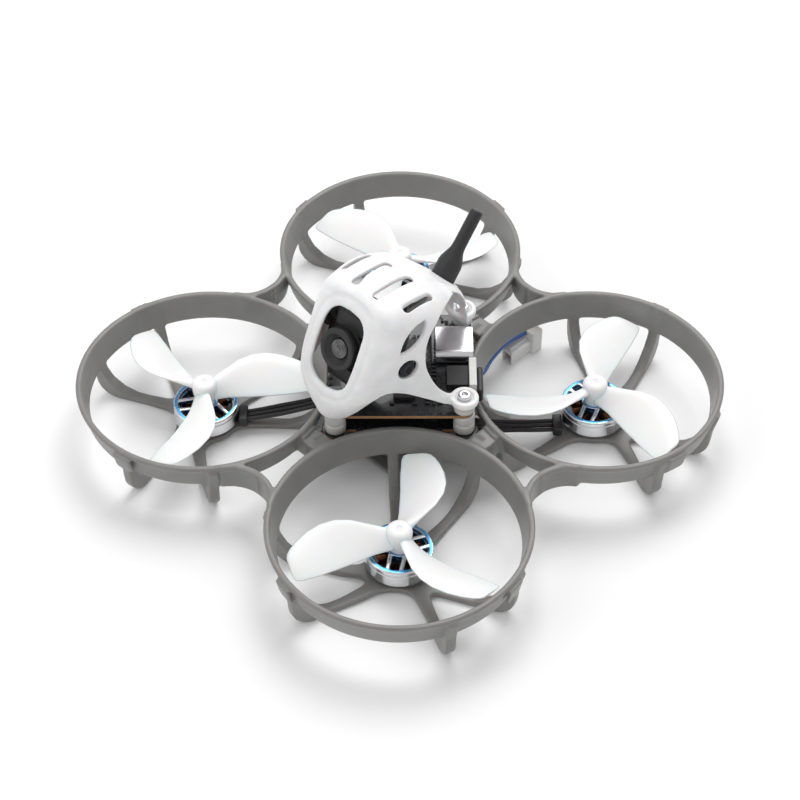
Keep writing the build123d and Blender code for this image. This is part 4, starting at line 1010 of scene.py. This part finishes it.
def build_camera():
    f = Field((-8.6, -9.6, -4.9), (8.6, 7.5, 6.8), 0.16)
    x, y, z = f.x, f.y, f.z
    square = box2(x, y, 0, 0, 6.8, 6.8, 0.5)
    square = both(square, (np.abs(x) + np.abs(y) - 11.6) * 0.707, 0.3)
    d = both(square, slab(z, -4.5, 5.0), 0.35)
    for side in (1, -1):
        d = cut(d, np.maximum(box2(x, y, side * 6.9, 0, 1.9, 3.6, 0.4), 3.0 - z), 0.15)
    flange = both(box2(x, y, 0, 0.3, 8.2, 5.6, 0.9), slab(z, 0.6, 2.6), 0.3)
    apron = both(box2(x, y, 0, -6.6, 4.9, 2.6, 0.6), slab(z, -1.0, 3.6), 0.3)
    plate = both(box2(x, y, 0, 5.4, 3.9, 1.7, 0.4), slab(z, 4.6, 6.3), 0.2)
    foot = both(box2(x, y, 0.4, -5.7, 3.5, 1.5, 0.4), slab(z, 4.6, 6.0), 0.2)
    d = join(join(d, np.minimum(flange, apron), 0.2), np.minimum(plate, foot), 0.1)
    seam = both(np.abs(z - 0.2) - 0.12, -(square + 0.2), 0.05)
    d = cut(d, seam, 0.05)
    for sx in (-1, 1):
        for sy in (-1, 1):
            screw = np.maximum(np.hypot(x - 4.9 * sx, y - 4.9 * sy) - 0.75, 4.5 - z)
            d = cut(d, screw, 0.1)
    step = both(np.hypot(x, y) - 5.0, slab(z, 4.6, 5.4), 0.2)
    d = join(d, step, 0.2)
    mesh = f.mesh(d, "camera_housing")
    mesh.transform(camera_frame)
    place("camera_housing", mesh, "camera", "camera_plastic", "camera", replaces=("camera_body",))
    barrel = lathe(BARREL, 96)
    for v in barrel.verts:
        r = math.hypot(v.co.x, v.co.y)
        odd = round(math.atan2(v.co.y, v.co.x) * 48 / math.pi) % 2
        if 4.38 * MM < r and 6.85 * MM < v.co.z < 8.5 * MM and odd:
            v.co.x, v.co.y = v.co.x * KNURL, v.co.y * KNURL
    barrel.transform(camera_frame)
    place("lens_barrel", bm_mesh("lens_barrel", barrel), "camera", "camera_plastic", "camera",
          replaces=("camera_lens",))
    glass = lathe(GLASS, 64)
    for face in glass.faces:
        reach = sum(v.co.xy.length for v in face.verts) / len(face.verts)
        face.material_index = int(reach < 0.9 * MM or 1.5 * MM < reach < 1.75 * MM)
    glass.transform(camera_frame)
    place("front_element", bm_mesh("front_element", glass), "camera", "lens", "glass", "iris",
          replaces=("lens_glass",))
    bm = bmesh.new()
    for side in (-1, 1):
        part = lathe(TILT_SCREW, 48)
        part.transform(Matrix.Translation(PIVOT) @ Matrix.Rotation(side * math.pi / 2, 4, "Y"))
        merge(bm, part)
    place("tilt_screws", bm_mesh("tilt_screws", bm), "camera", "black_steel", "black_steel",
          replaces=("camera_pivot_screws",))


build_camera()


# ---- antenna
lean = WHIP_AXIS.to_track_quat("Z", "X").to_matrix().to_4x4()
stand = Matrix.Translation(Vector((0, WHIP_Y, WHIP_Z)) * MM) @ lean
WHIP = [(0, -3.0), (2.0, -3.0), (2.4, -2.7), (2.6, -2.3), (2.55, 4.8), (2.42, 5.5), (2.15, 6.3),
        (1.8, 7.1), (1.5, 7.9), (1.38, 8.8), (1.36, 12.0), (1.36, 16.5), (1.25, 16.8), (1.0, 16.95),
        (0, 16.95)]
whip = lathe(WHIP, 48)
whip.transform(stand)
place("antenna_whip", bm_mesh("antenna_whip", whip), "frame", "antenna_rubber", "antenna",
      replaces=("antenna",))
spline("antenna_coax",
       [(0, 10.2, 30.3), (-0.3, 9.6, 27.6), (-0.8, 9.9, 24.6), (-1.6, 10.4, 21.4), (-1.8, 10.4, 17.3)],
       0.5, "frame", "antenna_rubber", "antenna")


# ---- battery connector
def build_connector():
    f = Field((-0.1, 28.6, -0.3), (6.8, 38.3, 6.4), 0.12)
    x, y, z = f.x, f.y, f.z
    body = block(f, (0.9, 34.8, 0), (5.9, 37.8, 5.9), 0.45)
    nose = block(f, (1.9, 29.1, 0), (4.9, 35.2, 3.3), 0.35)
    d = join(body, nose, 0.25)
    mouth = box2(x, z, 3.4, 1.65, 1.1, 1.2, 0.3)
    d = cut(d, np.maximum(mouth, y - 33.5), 0.12)
    rib = block(f, (3.0, 29.8, 3.0), (3.8, 35.0, 3.75), 0.15)
    d = join(d, rib, 0.15)
    for cx in (1.75, 3.2):
        d = cut(d, np.maximum(np.hypot(x - cx, z - 5.0) - 0.72, y - 35.6), 0.1)
    return place("battery_plug", f.mesh(d, "battery_plug"), "frame", "connector_plastic", "white_part",
                 replaces=("battery_connector",))


plug = build_connector()
bm = bmesh.new()
add_block(bm, (3.4, 31.8, 1.65), (0.8, 3.6, 0.5))
pins = bevel(place("plug_contact", bm_mesh("plug_contact", bm, False), "frame", None, "gold"), 0.1, 2)
for name, points in WIRES.items():
    wire = spline(name + "_wire", points, WIRE_R, "frame", "blue_wire" if "blue" in name else "black_wire",
                  "wire_blue" if "blue" in name else "wire_black", replaces=(name,))


# ---- floor and light
FLOOR_HALF = 3.0                # metres
bm = bmesh.new()
bmesh.ops.create_grid(bm, x_segments=8, y_segments=8, size=FLOOR_HALF)
floor = bpy.data.objects.new("floor", bm_mesh("floor", bm, False))
scene.collection.objects.link(floor)
floor_mat = Mat("pale_floor", (0.95, 0.95, 0.95), 0.7)
floor_mat.vary(0.01, 3).bump(40, 0.02)
floor.data.materials.append(floor_mat.m)
world = bpy.data.worlds.new("studio")
world.use_nodes = True
world.node_tree.nodes["Background"].inputs["Color"].default_value = (1, 1, 1, 1)
world.node_tree.nodes["Background"].inputs["Strength"].default_value = 0.66
scene.world = world


def area(name, azimuth, elevation, distance, size, power):
    a, e = math.radians(azimuth), math.radians(elevation)
    light = bpy.data.lights.new(name, "AREA")
    light.energy, light.size = power, size
    obj = bpy.data.objects.new(name, light)
    scene.collection.objects.link(obj)
    way = Vector((math.sin(a) * math.cos(e), -math.cos(a) * math.cos(e), math.sin(e)))
    obj.location = way * distance
    obj.rotation_euler = (-way).to_track_quat("-Z", "Y").to_euler()


area("key", 210, 58, 0.8, 0.5, 3.4)
area("fill", 330, 40, 0.9, 0.6, 1.2)
scene.view_settings.view_transform = "Standard"

bpy.context.view_layer.update()
